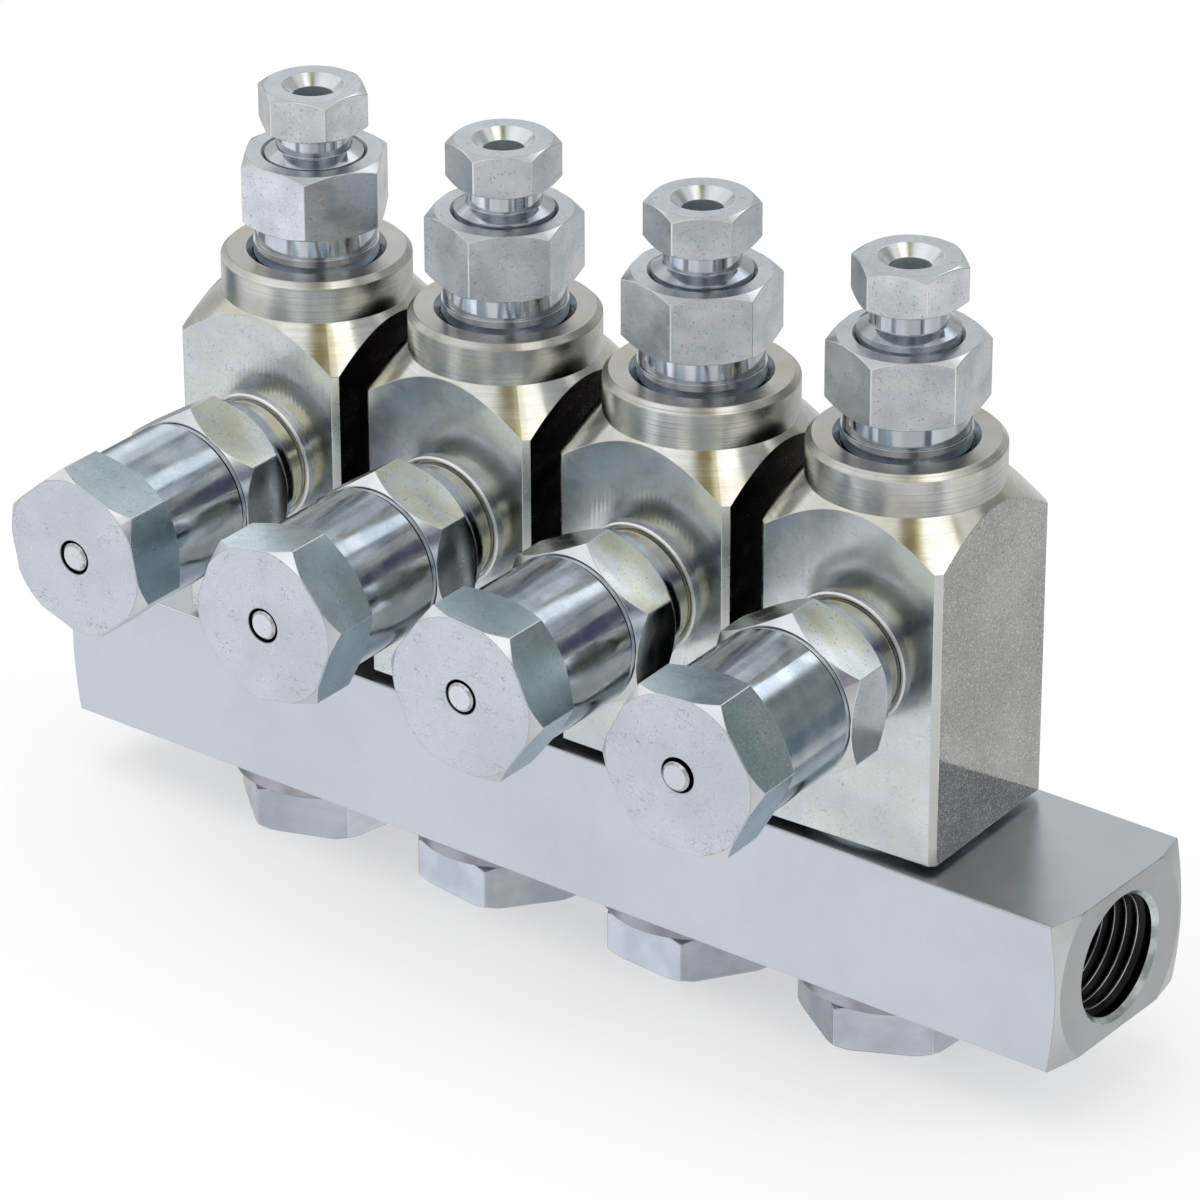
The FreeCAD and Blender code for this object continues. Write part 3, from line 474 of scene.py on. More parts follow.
def plated(name, colour, shade, rough, stain=None, stained=0.0, marks="z", mark_scale=4.0,
           mark_depth=0.002, mark_tone=0.22, grain=0.0006, grain_scale=9.0, specks=0.0, sparkle=0.0,
           scratches=0.0, patch=0.12, reflection_streaks=0.0, brushed=0.0):
    """Plated steel: patches between two tones, a yellow stain, tool marks, fine grain and specks.

    Sparkle is a share of dull white spots painted in as glints. Streaks are painted reflection, dark bands
    that run along a turned piece's axis, and brushing draws its reflections out across the tool marks.
    """
    material, tree, surface = new_material(name)
    point = tree.position()
    x, y, z = tree.parts(point)
    along = tree.length(x, y) if marks == "r" else {"x": x, "y": y, "z": z}[marks]
    shift = tree.shift()
    point = tree.vector("ADD", point, shift)
    along = tree.math("ADD", along, shift)
    cloud = tree.noise(point, patch, 3.0)
    tool = tree.lines(along, mark_scale)
    fine = tree.noise(point, grain_scale, 2.0)
    tone = tree.mix(tree.ramp(cloud, (0.38, 0.0), (0.62, 1.0)), colour, shade)
    tone = tree.mix(tree.math("MULTIPLY", tree.ramp(tool, (0.42, 0.0), (0.68, 1.0)), mark_tone), tone, shade)
    # Dark bands of painted reflection along the axis, changing round the piece
    if reflection_streaks:
        angle = tree.math("ADD", tree.math("ARCTAN2", y, x), shift)
        bands = tree.ramp(tree.lines(angle, 1.5, 2.0, 0.5), (0.36, 0.0), (0.66, reflection_streaks))
        tone = tree.mix(bands, tone, tuple(value * 0.45 for value in shade))
    if stained:
        clouds = tree.stretched_noise(point, (1.0, 1.0, 1.7), 0.21, 2.0)
        tone = tree.mix(tree.ramp(clouds, (0.46, 0.0), (0.60, stained)), tone, stain)
    if specks:
        dots = tree.ramp(tree.noise(point, 5.5, 1.0), (0.66, 0.0), (0.72, specks))
        tone = tree.mix(dots, tone, BRIGHT_SPECK)
        pits = tree.ramp(tree.noise(point, 4.1, 1.0, 0.3), (0.27, specks), (0.33, 0.0))
        tone = tree.mix(pits, tone, DARK_PIT)
    if scratches:
        winding = tree.stretched_noise(point, (1.0, 1.6, 1.0), 1.0, 1.5)
        hair = tree.ramp(winding, (0.484, 0.0), (0.494, scratches), (0.506, scratches), (0.516, 0.0))
        where = tree.ramp(tree.noise(point, 0.45, 2.0), (0.50, 0.0), (0.60, 1.0))
        tone = tree.mix(tree.math("MULTIPLY", hair, where), tone, SCRATCH)
    surface.inputs["Metallic"].default_value = 1.0
    # White spots painted in as glints
    if sparkle:
        painted_glints = tree.ramp(tree.noise(point, 6.0, 1.0, 0.3), (0.56, 0.0), (0.64, sparkle))
        tone = tree.mix(painted_glints, tone, GLINT_TONE)
        tree.put(surface.inputs["Metallic"], tree.math("SUBTRACT", 1.0, painted_glints))
    tree.put(surface.inputs["Base Color"], tone)
    smear = tree.stretched_noise(point, (1.0, 1.0, 1.5), 0.35, 3.0)
    tree.put(surface.inputs["Roughness"], tree.ramp(smear, (0.35, rough[0]), (0.70, rough[1])))
    if brushed:
        surface.inputs["Anisotropic"].default_value = brushed
        round_axis = tree.add("ShaderNodeTangent", direction_type="RADIAL", axis="Z").outputs[0]
        tree.put(surface.inputs["Tangent"], round_axis)
    tree.put(surface.inputs["Normal"], tree.bump(fine, grain, tree.bump(tool, mark_depth)))
    return material


def rubber(name, colour, upper=None):
    """Rubber of a clouded tone, with a painted shade on a flat piece's upper half where one is given."""
    material, tree, surface = new_material(name)
    point = tree.position()
    cloud = tree.noise(point, 0.8, 3.0)
    tone = tree.mix(cloud, colour, tuple(value * 1.8 for value in colour))
    if upper:
        # Painted shade on the upper half
        height = tree.parts(tree.add("ShaderNodeTexCoord").outputs["Generated"])[2]
        tone = tree.mix(tree.ramp(height, (0.45, 0.0), (0.60, 1.0)), tone, upper)
    tree.put(surface.inputs["Base Color"], tone)
    tree.put(surface.inputs["Roughness"], tree.ramp(tree.noise(point, 3.0, 2.0), (0.3, 0.5), (0.7, 0.75)))
    tree.put(surface.inputs["Normal"], tree.bump(tree.noise(point, 12.0, 2.0), 0.004))
    return material


FLAT = plated(
    "hexagon_flat", (0.72, 0.74, 0.77), (0.56, 0.59, 0.62), (0.2, 0.3), mark_scale=0.8, grain=0.0008,
    grain_scale=5.0, specks=0.55, scratches=0.3, patch=0.25,
)
ETCHED = plated(
    "etched_flat", (0.82, 0.86, 0.87), (0.62, 0.67, 0.68), (0.22, 0.3), stain=(0.76, 0.74, 0.44),
    stained=0.45, mark_scale=0.8, grain=0.002, grain_scale=5.0, specks=0.6, patch=0.14,
)
# The last cylinder's right-hand flat: a darker copy of its flats, the dark being painted shade
SHADED_LAPPED_FLAT = plated(
    "lapped_flat", (0.6, 0.64, 0.68), (0.44, 0.48, 0.52), (0.08, 0.14), mark_scale=0.8, mark_depth=0.001,
    grain=0.001, grain_scale=5.0, specks=0.5, patch=0.2,
)
# The other cylinders' right-hand flats: painted dark as a reflection of the gap beside them
GAP_REFLECTION_FLAT = plated(
    "oiled_flat", (0.34, 0.37, 0.39), (0.22, 0.25, 0.27), (0.1, 0.18), mark_scale=0.8, mark_depth=0.001,
    grain=0.001, grain_scale=5.0, specks=0.5, patch=0.2,
)
CAP_FLAT = plated(
    "cap_flat", (0.64, 0.74, 0.8), (0.47, 0.58, 0.63), (0.2, 0.28), mark_scale=0.8, grain=0.002,
    grain_scale=5.0, specks=0.5, sparkle=0.1, scratches=0.3,
)
# A bright tone painted on rounded edges and chamfers as a highlight
EDGE_HIGHLIGHT = plated("worn_edge", (0.9, 0.91, 0.92), (0.8, 0.81, 0.82), (0.3, 0.45), mark_scale=2.0)
BEVEL = plated(
    "turned_bevel", (0.84, 0.86, 0.88), (0.68, 0.71, 0.74), (0.18, 0.28), marks="r", mark_scale=5.0,
    mark_depth=0.003,
)
FACED = plated(
    "faced_end", (0.6, 0.63, 0.66), (0.54, 0.57, 0.6), (0.24, 0.34), marks="r", mark_scale=2.2,
    mark_tone=0.35, grain=0.001, specks=0.3, scratches=0.6,
)
TURNED = plated(
    "turned_barrel", (0.74, 0.79, 0.84), (0.52, 0.59, 0.65), (0.1, 0.2), mark_scale=3.0, mark_depth=0.0012,
    patch=0.3, reflection_streaks=0.35, specks=0.3,
)
NECK = plated(
    "polished_neck", (0.8, 0.85, 0.9), (0.58, 0.63, 0.68), (0.06, 0.14), mark_scale=3.5, mark_depth=0.0016,
    reflection_streaks=0.55,
)
PORT_NECK = plated(
    "port_neck", (0.84, 0.84, 0.8), (0.56, 0.56, 0.5), (0.08, 0.16), stain=(0.74, 0.67, 0.38), stained=0.6,
    mark_scale=3.5, mark_depth=0.004, mark_tone=0.6, reflection_streaks=0.4,
)
BORE = plated("bored_wall", (0.4, 0.43, 0.46), (0.26, 0.29, 0.32), (0.22, 0.36), mark_depth=0.004)
# Near black: shade painted into the inlets' deep bores and thread flanks
THREAD_SHADE = plated("thread_flank", (0.03, 0.03, 0.034), (0.015, 0.015, 0.018), (0.2, 0.32))
# White: a highlight painted on the thread crests
CREST_HIGHLIGHT = plated(
    "thread_crest", (1.0, 1.0, 1.0), (0.86, 0.87, 0.88), (0.3, 0.45), mark_scale=2.0, reflection_streaks=0.6,
)
MOUTH = plated(
    "worn_mouth", (0.84, 0.88, 0.89), (0.44, 0.49, 0.49), (0.22, 0.36), mark_scale=3.0, mark_depth=0.004,
    grain=0.004, grain_scale=3.0, patch=0.6,
)
MILLED = plated(
    "milled_block", (0.67, 0.69, 0.69), (0.52, 0.55, 0.56), (0.16, 0.25), stain=(0.6, 0.59, 0.47),
    stained=0.3, marks="x", mark_scale=1.4, mark_depth=0.001, grain_scale=5.0, specks=0.35, scratches=0.35,
    patch=0.1,
)
SIDE = plated(
    "block_side", (0.55, 0.54, 0.52), (0.44, 0.43, 0.41), (0.04, 0.07), mark_scale=1.4, mark_depth=0.0003,
    grain=0.004, grain_scale=3.4, specks=0.8, sparkle=0.3, patch=0.1,
)
# Near black: shade painted on the block sides that face the gaps between blocks
GAP_SHADE_SIDE = plated(
    "block_side_in_gap", (0.1, 0.085, 0.075), (0.04, 0.04, 0.04), (0.2, 0.3), mark_scale=1.4,
    mark_depth=0.001, grain=0.006, grain_scale=3.5, specks=0.4, patch=0.1,
)
# Lighter than the block's faces: a highlight painted on its chamfer strips
STRIP_HIGHLIGHT = plated("block_edge", (0.88, 0.88, 0.85), (0.76, 0.76, 0.73), (0.22, 0.34), mark_scale=2.0)
SHOULDER = plated(
    "turned_shoulder", (0.84, 0.84, 0.81), (0.6, 0.6, 0.56), (0.12, 0.2), stain=(0.7, 0.64, 0.4),
    stained=0.3, mark_scale=3.2, mark_depth=0.008, mark_tone=0.6, patch=0.16,
)
COLLAR = plated(
    "turned_collar", (0.85, 0.85, 0.82), (0.48, 0.48, 0.46), (0.2, 0.3), stain=(0.66, 0.62, 0.46),
    stained=0.25, mark_depth=0.006, mark_tone=0.8, patch=0.16, reflection_streaks=0.4, brushed=0.5,
)
MACHINED = plated(
    "machined_bar", (0.6, 0.63, 0.67), (0.57, 0.6, 0.64), (0.31, 0.35), marks="y", mark_scale=1.1,
    mark_depth=0.001, grain=0.001, specks=0.12, patch=0.06,
)
BOLT = plated("bolt_flat", (0.61, 0.64, 0.7), (0.5, 0.53, 0.59), (0.22, 0.32), mark_scale=1.0, patch=0.2)
BAND = plated("seal_band", (0.46, 0.45, 0.49), (0.36, 0.36, 0.4), (0.26, 0.36), mark_scale=3.0)
PORT_RING = plated(
    "port_ring", (0.74, 0.75, 0.74), (0.44, 0.45, 0.45), (0.12, 0.24), mark_scale=6.0, mark_depth=0.004,
    mark_tone=0.6,
)
DRILLED = plated("drilled_wall", (0.66, 0.74, 0.78), (0.5, 0.57, 0.61), (0.55, 0.7), mark_depth=0.006)
PIN = plated(
    "ground_pin", (0.7, 0.72, 0.74), (0.6, 0.62, 0.64), (0.12, 0.2), marks="r", mark_depth=0.0012,
    specks=0.4,
)
BAR_END = plated(
    "faced_bar_end", (0.58, 0.59, 0.6), (0.52, 0.53, 0.54), (0.24, 0.32), marks="r", mark_scale=2.2,
)
COLLAR_FACE = plated(
    "collar_face", (0.56, 0.54, 0.52), (0.48, 0.46, 0.44), (0.18, 0.28), stain=(0.5, 0.44, 0.3),
    stained=0.4, marks="r", mark_depth=0.003,
)
SPRING = plated("drawn_wire", (0.48, 0.49, 0.51), (0.36, 0.37, 0.39), (0.22, 0.34), mark_scale=2.0)
BRASS = plated("ferrule_brass", (0.8, 0.62, 0.3), (0.66, 0.5, 0.24), (0.2, 0.32), mark_scale=3.0)
PISTON = plated(
    "ground_piston", (0.82, 0.83, 0.84), (0.74, 0.75, 0.76), (0.08, 0.14), marks="y", mark_scale=3.0,
    mark_depth=0.001,
)

LIP = rubber("seal_lip", (0.03, 0.03, 0.03))
# The gasket's upper half is painted dark as the shade under the block
GASKET = rubber("gasket_fibre", (0.40, 0.50, 0.53), upper=(0.03, 0.035, 0.04))
RUBBER = rubber("check_rubber", (0.02, 0.02, 0.02))


# Bar

def bar_profile(radii):
    end, disc, slope = BAR_LENGTH / 2, 10.4, math.tan(math.radians(16))
    rim, fall = beyond(radii, disc, slope)
    gallery, throat, mouth = 4.0, 6.22, 6.78
    countersink, thread_start, drill_end = mouth - throat, 1.0, INLET_DEPTH + 1.3
    # The inlets' bores are painted near black as shade
    return [
        (gallery, drill_end - end, 0.1, THREAD_SHADE),
        (INLET_RADIUS, INLET_DEPTH - end, 0.1, THREAD_SHADE),
        (INLET_RADIUS, thread_start - end, 0.02, THREAD_SHADE),
        (throat, countersink - end, 0.05, MOUTH),
        (mouth, -end, 0.05, BAR_END),
        [(rim, -end, 0.10, BAR_END), (radii, fall - end, 0.10, MACHINED)],
        [(radii, end - fall, 0.10, BAR_END), (rim, end, 0.10, BAR_END)],
        (mouth, end, 0.05, MOUTH),
        (throat, end - countersink, 0.05, THREAD_SHADE),
        (INLET_RADIUS, end - thread_start, 0.02, THREAD_SHADE),
        (INLET_RADIUS, end - INLET_DEPTH, 0.1, THREAD_SHADE),
        (gallery, end - drill_end, 0.1, BORE),
    ]


def inlet_threads():
    """The thread ridges of both inlets."""
    end, crest, pitch = BAR_LENGTH / 2, 5.95, 1.337
    points, faces, materials = thread_ridge(INLET_RADIUS, crest, pitch, end - 11.7, end - 1.2)
    far_points = points * np.array((1, -1, -1))
    far_faces = [tuple(corner + len(points) for corner in face) for face in faces]
    return np.concatenate([points, far_points]), faces + far_faces, materials * 2


def brighten_bar_end(bar):
    """Paint a highlight on the bar's slanting edge faces, up to where its ends are turned down."""
    bar.data.materials.append(EDGE_HIGHLIGHT)
    for face in bar.data.polygons:
        x, y, z = (abs(value) for value in face.normal)
        slanting = 0.3 < x < 0.95 and 0.3 < y < 0.95 and z < 0.05
        if slanting and bar.data.materials[face.material_index] is MACHINED:
            face.material_index = len(bar.data.materials) - 1


def make_bar():
    high, wide = BAR_HEIGHT / 2, BAR_WIDTH / 2
    outline = rounded_outline([(-high, -wide), (high, -wide), (high, wide), (-high, wide)], 0.22, 18)
    place = Matrix.Translation(Vector((0, -wide, 0)) * MM) @ Matrix.Rotation(math.pi / 2, 4, "Y")
    bar = turned("bar", bar_profile, outline, place, extra=inlet_threads())
    brighten_bar_end(bar)
    dress(bar, "manifold", "bar_steel", "manifold_bar")


# Injector body

def body_profile(radii):
    collar, shoulder, chamfer = 9.7, 35.35, 0.6
    inlet_port, inlet_mouth, inlet_depth, drill_end = 5.03, 5.43, 12.0, 14.04
    outlet_port, outlet_mouth, outlet_floor = 6.53, 7.1, COLLAR_TOP - 11.0
    return [
        (inlet_port, inlet_mouth - inlet_port, 0.1, BORE),
        (inlet_mouth, 0.0, 0.1, MILLED),
        (radii, 0.0, 0.12, MILLED),
        (radii, shoulder - (radii - collar), 0.10, SHOULDER),
        (collar, shoulder, 0.05, COLLAR),
        (collar, COLLAR_TOP - chamfer, 0.12, COLLAR),
        (collar - chamfer, COLLAR_TOP, 0.12, COLLAR_FACE),
        (outlet_mouth, COLLAR_TOP, 0.05, BORE),
        (outlet_port, COLLAR_TOP - (outlet_mouth - outlet_port), 0.05, BORE),
        (outlet_port, outlet_floor, 0.1, BORE),
        (PASSAGE_RADIUS, outlet_floor, 0.1, BORE),
        (PASSAGE_RADIUS, drill_end, 0.1, BORE),
        (inlet_port, inlet_depth, 0.1, BORE),
    ]


def block_outline():
    across, deep, edge = BLOCK_WIDTH / 2, BLOCK_DEPTH / 2, 0.6
    right = [(across, -deep + edge), (across, deep - edge), (across - edge, deep)]
    left = [(-across + edge, deep), (-across, deep - edge), (-across, -deep + edge)]
    front = [(-across + edge, -deep), (across - edge, -deep)]
    return rounded_outline(right + left + front, 0.12, 18)


def front_port_profile(radii):
    mouth, port, port_depth = 6.33, 6.03, 7.0
    chamber, chamber_depth, drill_end = 4.6, 14.5, 17.16
    before_face = -1.0
    corners = [
        (0.0, before_face), (mouth, before_face), (mouth, 0.0), (port, mouth - port), (port, port_depth),
        (chamber, port_depth), (chamber, chamber_depth), (0.0, drill_end),
    ]
    return [(radius, height, 0.0, BORE) for radius, height in corners]


def bore_front_port(piece):
    """Bore the piston port and its chamber into the block's front face."""
    face = Matrix.Translation(Vector((0, -BLOCK_DEPTH / 2, PISTON_AXIS - BODY_FOOT)) * MM)
    place = piece.matrix_world @ face @ Matrix.Rotation(-math.pi / 2, 4, "X")
    cutter = turned("port_cutter", front_port_profile, round_columns(64), place)
    cut = piece.modifiers.new("port", "BOOLEAN")
    cut.operation = "DIFFERENCE"
    cut.solver = "EXACT"
    cut.object = cutter
    bpy.context.view_layer.update()
    made = bpy.data.meshes.new_from_object(piece.evaluated_get(bpy.context.evaluated_depsgraph_get()))
    piece.modifiers.clear()
    piece.data = made
    bpy.data.objects.remove(cutter)
    weigh_normals(made)


def finish_sides(piece, number):
    """Give the block's chamfer strips a painted highlight, its outer sides their own finish, and the sides
    in the gaps a painted shade.
    """
    materials = piece.data.materials
    strip, outer, gap = range(len(materials), len(materials) + 3)
    for material in (STRIP_HIGHLIGHT, SIDE, GAP_SHADE_SIDE):
        materials.append(material)
    for face in piece.data.polygons:
        x, y, z = face.normal
        if materials[face.material_index] != MILLED or abs(z) > 0.2:
            continue
        if abs(abs(x) - abs(y)) < 0.5:
            face.material_index = strip
        elif abs(x) > 0.8:
            at_end = (number == 1 and x < 0) or (number == len(INJECTORS) and x > 0)
            face.material_index = outer if at_end else gap


def make_body(number):
    place = upright(number, BODY_FOOT)
    body = turned(f"body_{number}", body_profile, block_outline(), place)
    bore_front_port(body)
    finish_sides(body, number)
    dress(body, "manifold", "block_steel", f"injector_body_{number}")


# Outlet adapter and tube nut

def brighten_edges(piece, turn, beside=None):
    """Paint a highlight on the rounded edges between a hexagon's flats, and give the right-hand flat its own
    finish, painted darker as shade.
    """
    flat_within, right_within = 7, 38
    materials = piece.data.materials
    edge = len(materials)
    materials.append(EDGE_HIGHLIGHT)
    if beside:
        materials.append(beside)
    flats = [number for number, material in enumerate(materials) if material in (FLAT, ETCHED, CAP_FLAT)]
    for face in piece.data.polygons:
        if face.material_index not in flats:
            continue
        angle = math.degrees(math.atan2(face.normal.y, face.normal.x))
        if abs((angle - turn) % 60 - 30) > flat_within:
            face.material_index = edge
        elif beside and abs(angle) < right_within:
            face.material_index = edge + 1


def adapter_profile(radii):
    rim, fall = beyond(radii, ADAPTER_FLATS / 2, BEVEL_SLOPE)
    cavity, thread, bevel, band, groove, neck = 2.8, 6.5, 0.5, 6.38, 6.05, 6.2
    port, mouth, ferrule_seat = 5.03, 5.35, 3.4
    reach, thread_end, band_top, neck_foot, hex_seat = -9.5, -1.2, 1.05, 1.3, 3.35
    port_floor, seat_floor, tube_floor, cavity_top = 4.2, 1.9, 0.2, -6.3
    return [
        (cavity, reach, 0.05, NECK),
        (thread - bevel, reach, 0.05, NECK),
        (thread, reach + bevel, 0.05, NECK),
        (thread, thread_end, 0.03, NECK),
        (band, thread_end, 0.03, NECK),
        (band, band_top, 0.06, NECK),
        (groove, band_top, 0.04, NECK),
        (groove, neck_foot, 0.04, NECK),
        (neck, neck_foot, 0.04, NECK),
        (neck, hex_seat, 0.10, BEVEL),
        [(rim, hex_seat, 0.12, BEVEL), (radii, hex_seat + fall, 0.12, FLAT)],
        [(radii, OUTLET_TOP - fall, 0.12, BEVEL), (rim, OUTLET_TOP, 0.12, FACED)],
        (mouth, OUTLET_TOP, 0.06, BORE),
        (port, OUTLET_TOP - (mouth - port), 0.06, BORE),
        (port, port_floor, 0.1, BORE),
        (ferrule_seat, port_floor, 0.05, BORE),
        (TUBE_RADIUS, seat_floor, 0.05, BORE),
        (TUBE_RADIUS, tube_floor, 0.05, BORE),
        (PASSAGE_RADIUS, tube_floor, 0.05, BORE),
        (PASSAGE_RADIUS, cavity_top, 0.05, BORE),
        (cavity, cavity_top, 0.05, BORE),
    ]


def nut_profile(radii):
    circle = 4.85
    fall = (radii - circle) * BEVEL_SLOPE
    cone, thread, bevel, neck, mouth = 3.3, 5.0, 0.6, 3.875, 3.15
    reach, cone_top, thread_top, neck_foot, hex_seat, top = -5.6, -4.0, 0.35, 1.05, 3.05, 7.5
    return [
        (cone, reach, 0.05, NECK),
        (thread - bevel, reach, 0.05, NECK),
        (thread, reach + bevel, 0.05, NECK),
        (thread, thread_top, 0.05, NECK),
        (neck, neck_foot, 0.10, NECK),
        (neck, hex_seat, 0.15, BEVEL),
        (circle, hex_seat, 0.12, BEVEL),
        (radii, hex_seat + fall, 0.12, FLAT),
        (radii, top - fall, 0.12, BEVEL),
        (circle, top, 0.12, FACED),
        (mouth, top, 0.10, BEVEL),
        (TUBE_RADIUS, top - (mouth - TUBE_RADIUS), 0.10, DRILLED),
        (TUBE_RADIUS, cone_top, 0.05, DRILLED),
    ]


# Piston cylinder and cap

def cylinder_profile(radii):
    back_slope, front_slope = 1.15, 1.07
    rim, fall = beyond(radii, CAP_FLATS / 2, front_slope)
    bore, thread, bevel, foot, neck = 4.03, 6.0, 0.5, 6.225, 6.4
    ring, groove, collar, lip = 7.3, 6.95, 7.5, 7.6
    reach, neck_foot, ring_back, ring_front, collar_back = -6.15, 0.7, 2.95, 3.2, 3.35
    hex_seat, hex_front, lip_front, front = 4.25, 11.0, 11.25, 17.25
    return [
        (bore, reach, 0.05, PORT_NECK),
        (thread - bevel, reach, 0.05, PORT_NECK),
        (thread, reach + bevel, 0.05, PORT_NECK),
        (thread, 0.0, 0.03, PORT_NECK),
        (foot, 0.0, 0.05, PORT_NECK),
        (neck, neck_foot, 0.10, PORT_NECK),
        (neck, ring_back, 0.05, TURNED),
        (ring, ring_back, 0.05, TURNED),
        (ring, ring_front, 0.05, PORT_NECK),
        (groove, ring_front, 0.03, PORT_NECK),
        (groove, collar_back, 0.03, PORT_NECK),
        (collar, collar_back, 0.06, TURNED),
        (collar, hex_seat, 0.08, BEVEL),
        (radii, hex_seat + (radii - collar) * back_slope, 0.12, ETCHED),
        [(radii, hex_front - fall, 0.12, BEVEL), (rim, hex_front, 0.08, BEVEL)],
        (lip, hex_front, 0.05, TURNED),
        (lip, lip_front, 0.05, TURNED),
        (thread, lip_front, 0.05, PORT_NECK),
        (thread, front - bevel, 0.05, PORT_NECK),
        (thread - bevel, front, 0.05, PORT_NECK),
        (bore, front, 0.05, BORE),
    ]


def cap_profile(radii):
    face_circle, back_slope, front_slope = 8.1, 0.7364, 0.9
    rim, fall = beyond(radii, face_circle, front_slope)
    barrel, chamfer, mouth, thread, chamber, pin_hole = 7.9, 0.25, 6.33, 6.03, 4.9, 1.77
    thread_end, hex_back, wall_back = 6.5, 10.0, CAP_LENGTH - CAP_WALL
    return [
        (mouth, 0.0, 0.05, TURNED),
        (barrel - chamfer, 0.0, 0.06, TURNED),
        (barrel, chamfer, 0.10, TURNED),
        (barrel, hex_back, 0.04, BEVEL),
        (radii, hex_back + (radii - barrel) * back_slope, 0.12, CAP_FLAT),
        [(radii, CAP_LENGTH - fall, 0.13, BEVEL), (rim, CAP_LENGTH, 0.13, FACED)],
        (pin_hole, CAP_LENGTH, 0.08, BORE),
        (pin_hole, wall_back, 0.05, BORE),
        (chamber, wall_back, 0.05, BORE),
        (chamber, thread_end, 0.05, BORE),
        (thread, thread_end, 0.05, BORE),
        (thread, mouth - thread, 0.05, BORE),
    ]


# Indicator pin and return spring

def make_pin(number, stands_out):
    flange, shank, dome, dome_height, dome_edge = 3.7, 1.5, 1.22, 0.22, 0.03
    tip = CAP_SEAT + CAP_LENGTH + stands_out - PISTON_FACE

    def profile(radii):
        return [
            (0.0, 0.0, 0.0, TURNED),
            (flange, 0.0, 0.05, TURNED),
            (flange, PIN_FLANGE, 0.05, TURNED),
            (shank, PIN_FLANGE, 0.05, TURNED),
            (shank, tip - dome_height, 0.10, PIN),
            (dome, tip - dome_edge, 0.10, PIN),
            (0.0, tip, 0.0, PIN),
        ]

    pin = turned(f"pin_{number}", profile, round_columns(48), forward(number, PISTON_FACE))
    dress(pin, f"piston_row_{number}", "piston_steel", f"indicator_pin_{number}")


def coiled(name, diameter, wire, turns, length, material, matrix):
    """Coil of round wire standing on the place's floor."""
    per_turn, round_wire = 36, 12
    steps = turns * per_turn
    points = []
    for step in range(steps + 1):
        angle = step * 2 * math.pi / per_turn
        middle = wire / 2 + (length - wire) * step / steps
        for corner in range(round_wire):
            tilt = corner * 2 * math.pi / round_wire
            radius = (diameter + wire * math.cos(tilt)) / 2
            height = middle + wire * math.sin(tilt) / 2
            points.append((radius * math.cos(angle), radius * math.sin(angle), height))
    faces = turned_faces(steps + 1, round_wire, False)
    faces += [tuple(reversed(range(round_wire))), tuple(range(len(points) - round_wire, len(points)))]
    return make_object(name, np.array(points), faces, [material] * len(faces), matrix)


def make_spring(number):
    """The spring reaches from its foot by the pin's flange to the cap's wall, and is hung on the piston row.
    """
    diameter, wire, turns = 6.6, 0.9, 5
    foot = forward(number, SPRING_FOOT)
    spring = coiled(f"spring_{number}", diameter, wire, turns, SPRING_LENGTH, SPRING, foot)
    dress(spring, f"piston_row_{number}", "spring_steel", f"return_spring_{number}")
    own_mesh(spring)


# Seal rings and bolts

def port_seal_profile(radii):
    bore, outside, rim_bore, base, height, chamfer = 6.1, 6.95, 6.55, 0.35, 0.7, 0.18
    return [
        (bore, 0.0, 0.03, PORT_RING),
        (outside, 0.0, 0.04, PORT_RING),
        # The seal's outer chamfer carries the painted edge highlight
        (outside, height - chamfer, 0.05, EDGE_HIGHLIGHT),
        (outside - chamfer, height, 0.05, EDGE_HIGHLIGHT),
        (rim_bore, height, 0.08, PORT_RING),
        (rim_bore, base, 0.03, PORT_RING),
        (bore, base, 0.03, PORT_RING),
    ]


def bonded_seal_profile(radii):
    lip, lip_root, bore, outside, thickness = 5.3, 6.3, 6.5, 10.05, 2.0
    lip_edge, lip_step = 0.8, 0.1
    return [
        (lip, lip_edge - thickness, 0.05, LIP),
        (lip_root, lip_step - thickness, 0.05, LIP),
        (bore, -thickness, 0.05, BAND),
        (outside, -thickness, 0.20, BAND),
        (outside, 0.0, 0.20, BAND),
        (bore, 0.0, 0.05, LIP),
        (lip_root, -lip_step, 0.05, LIP),
        (lip, -lip_edge, 0.05, LIP),
    ]


def bolt_profile(radii):
    foot_circle, top_circle, seat = 9.0, 8.5, -2.0
    foot_rim, foot_fall = beyond(radii, foot_circle, BEVEL_SLOPE)
    top_rim, top_fall = beyond(radii, top_circle, BEVEL_SLOPE)
    shank, bevel, waist, bore = 5.0, 0.6, 3.9, 2.5
    waist_foot, waist_top, end, bore_floor, drill_end = 3.0, 13.0, 27.7, 6.0, 5.0
    return [
        (0.0, BOLT_FOOT, 0.0, BOLT),
        [(foot_rim, BOLT_FOOT, 0.2, BOLT), (radii, BOLT_FOOT + foot_fall, 0.2, BOLT)],
        [(radii, seat - top_fall, 0.2, BOLT), (top_rim, seat, 0.2, BOLT)],
        (shank, seat, 0.05, TURNED),
        (shank, waist_foot, 0.1, TURNED),
        (waist, waist_foot, 0.1, TURNED),
        (waist, waist_top, 0.1, TURNED),
        (shank, waist_top, 0.1, TURNED),
        (shank, end - bevel, 0.1, TURNED),
        (shank - bevel, end, 0.1, TURNED),
        (bore, end, 0.1, BORE),
        (bore, bore_floor, 0.1, BORE),
        (0.0, drill_end, 0.0, BORE),
    ]


# The turned pieces of an injector that don't move: name, profile, outline, place, slot, node

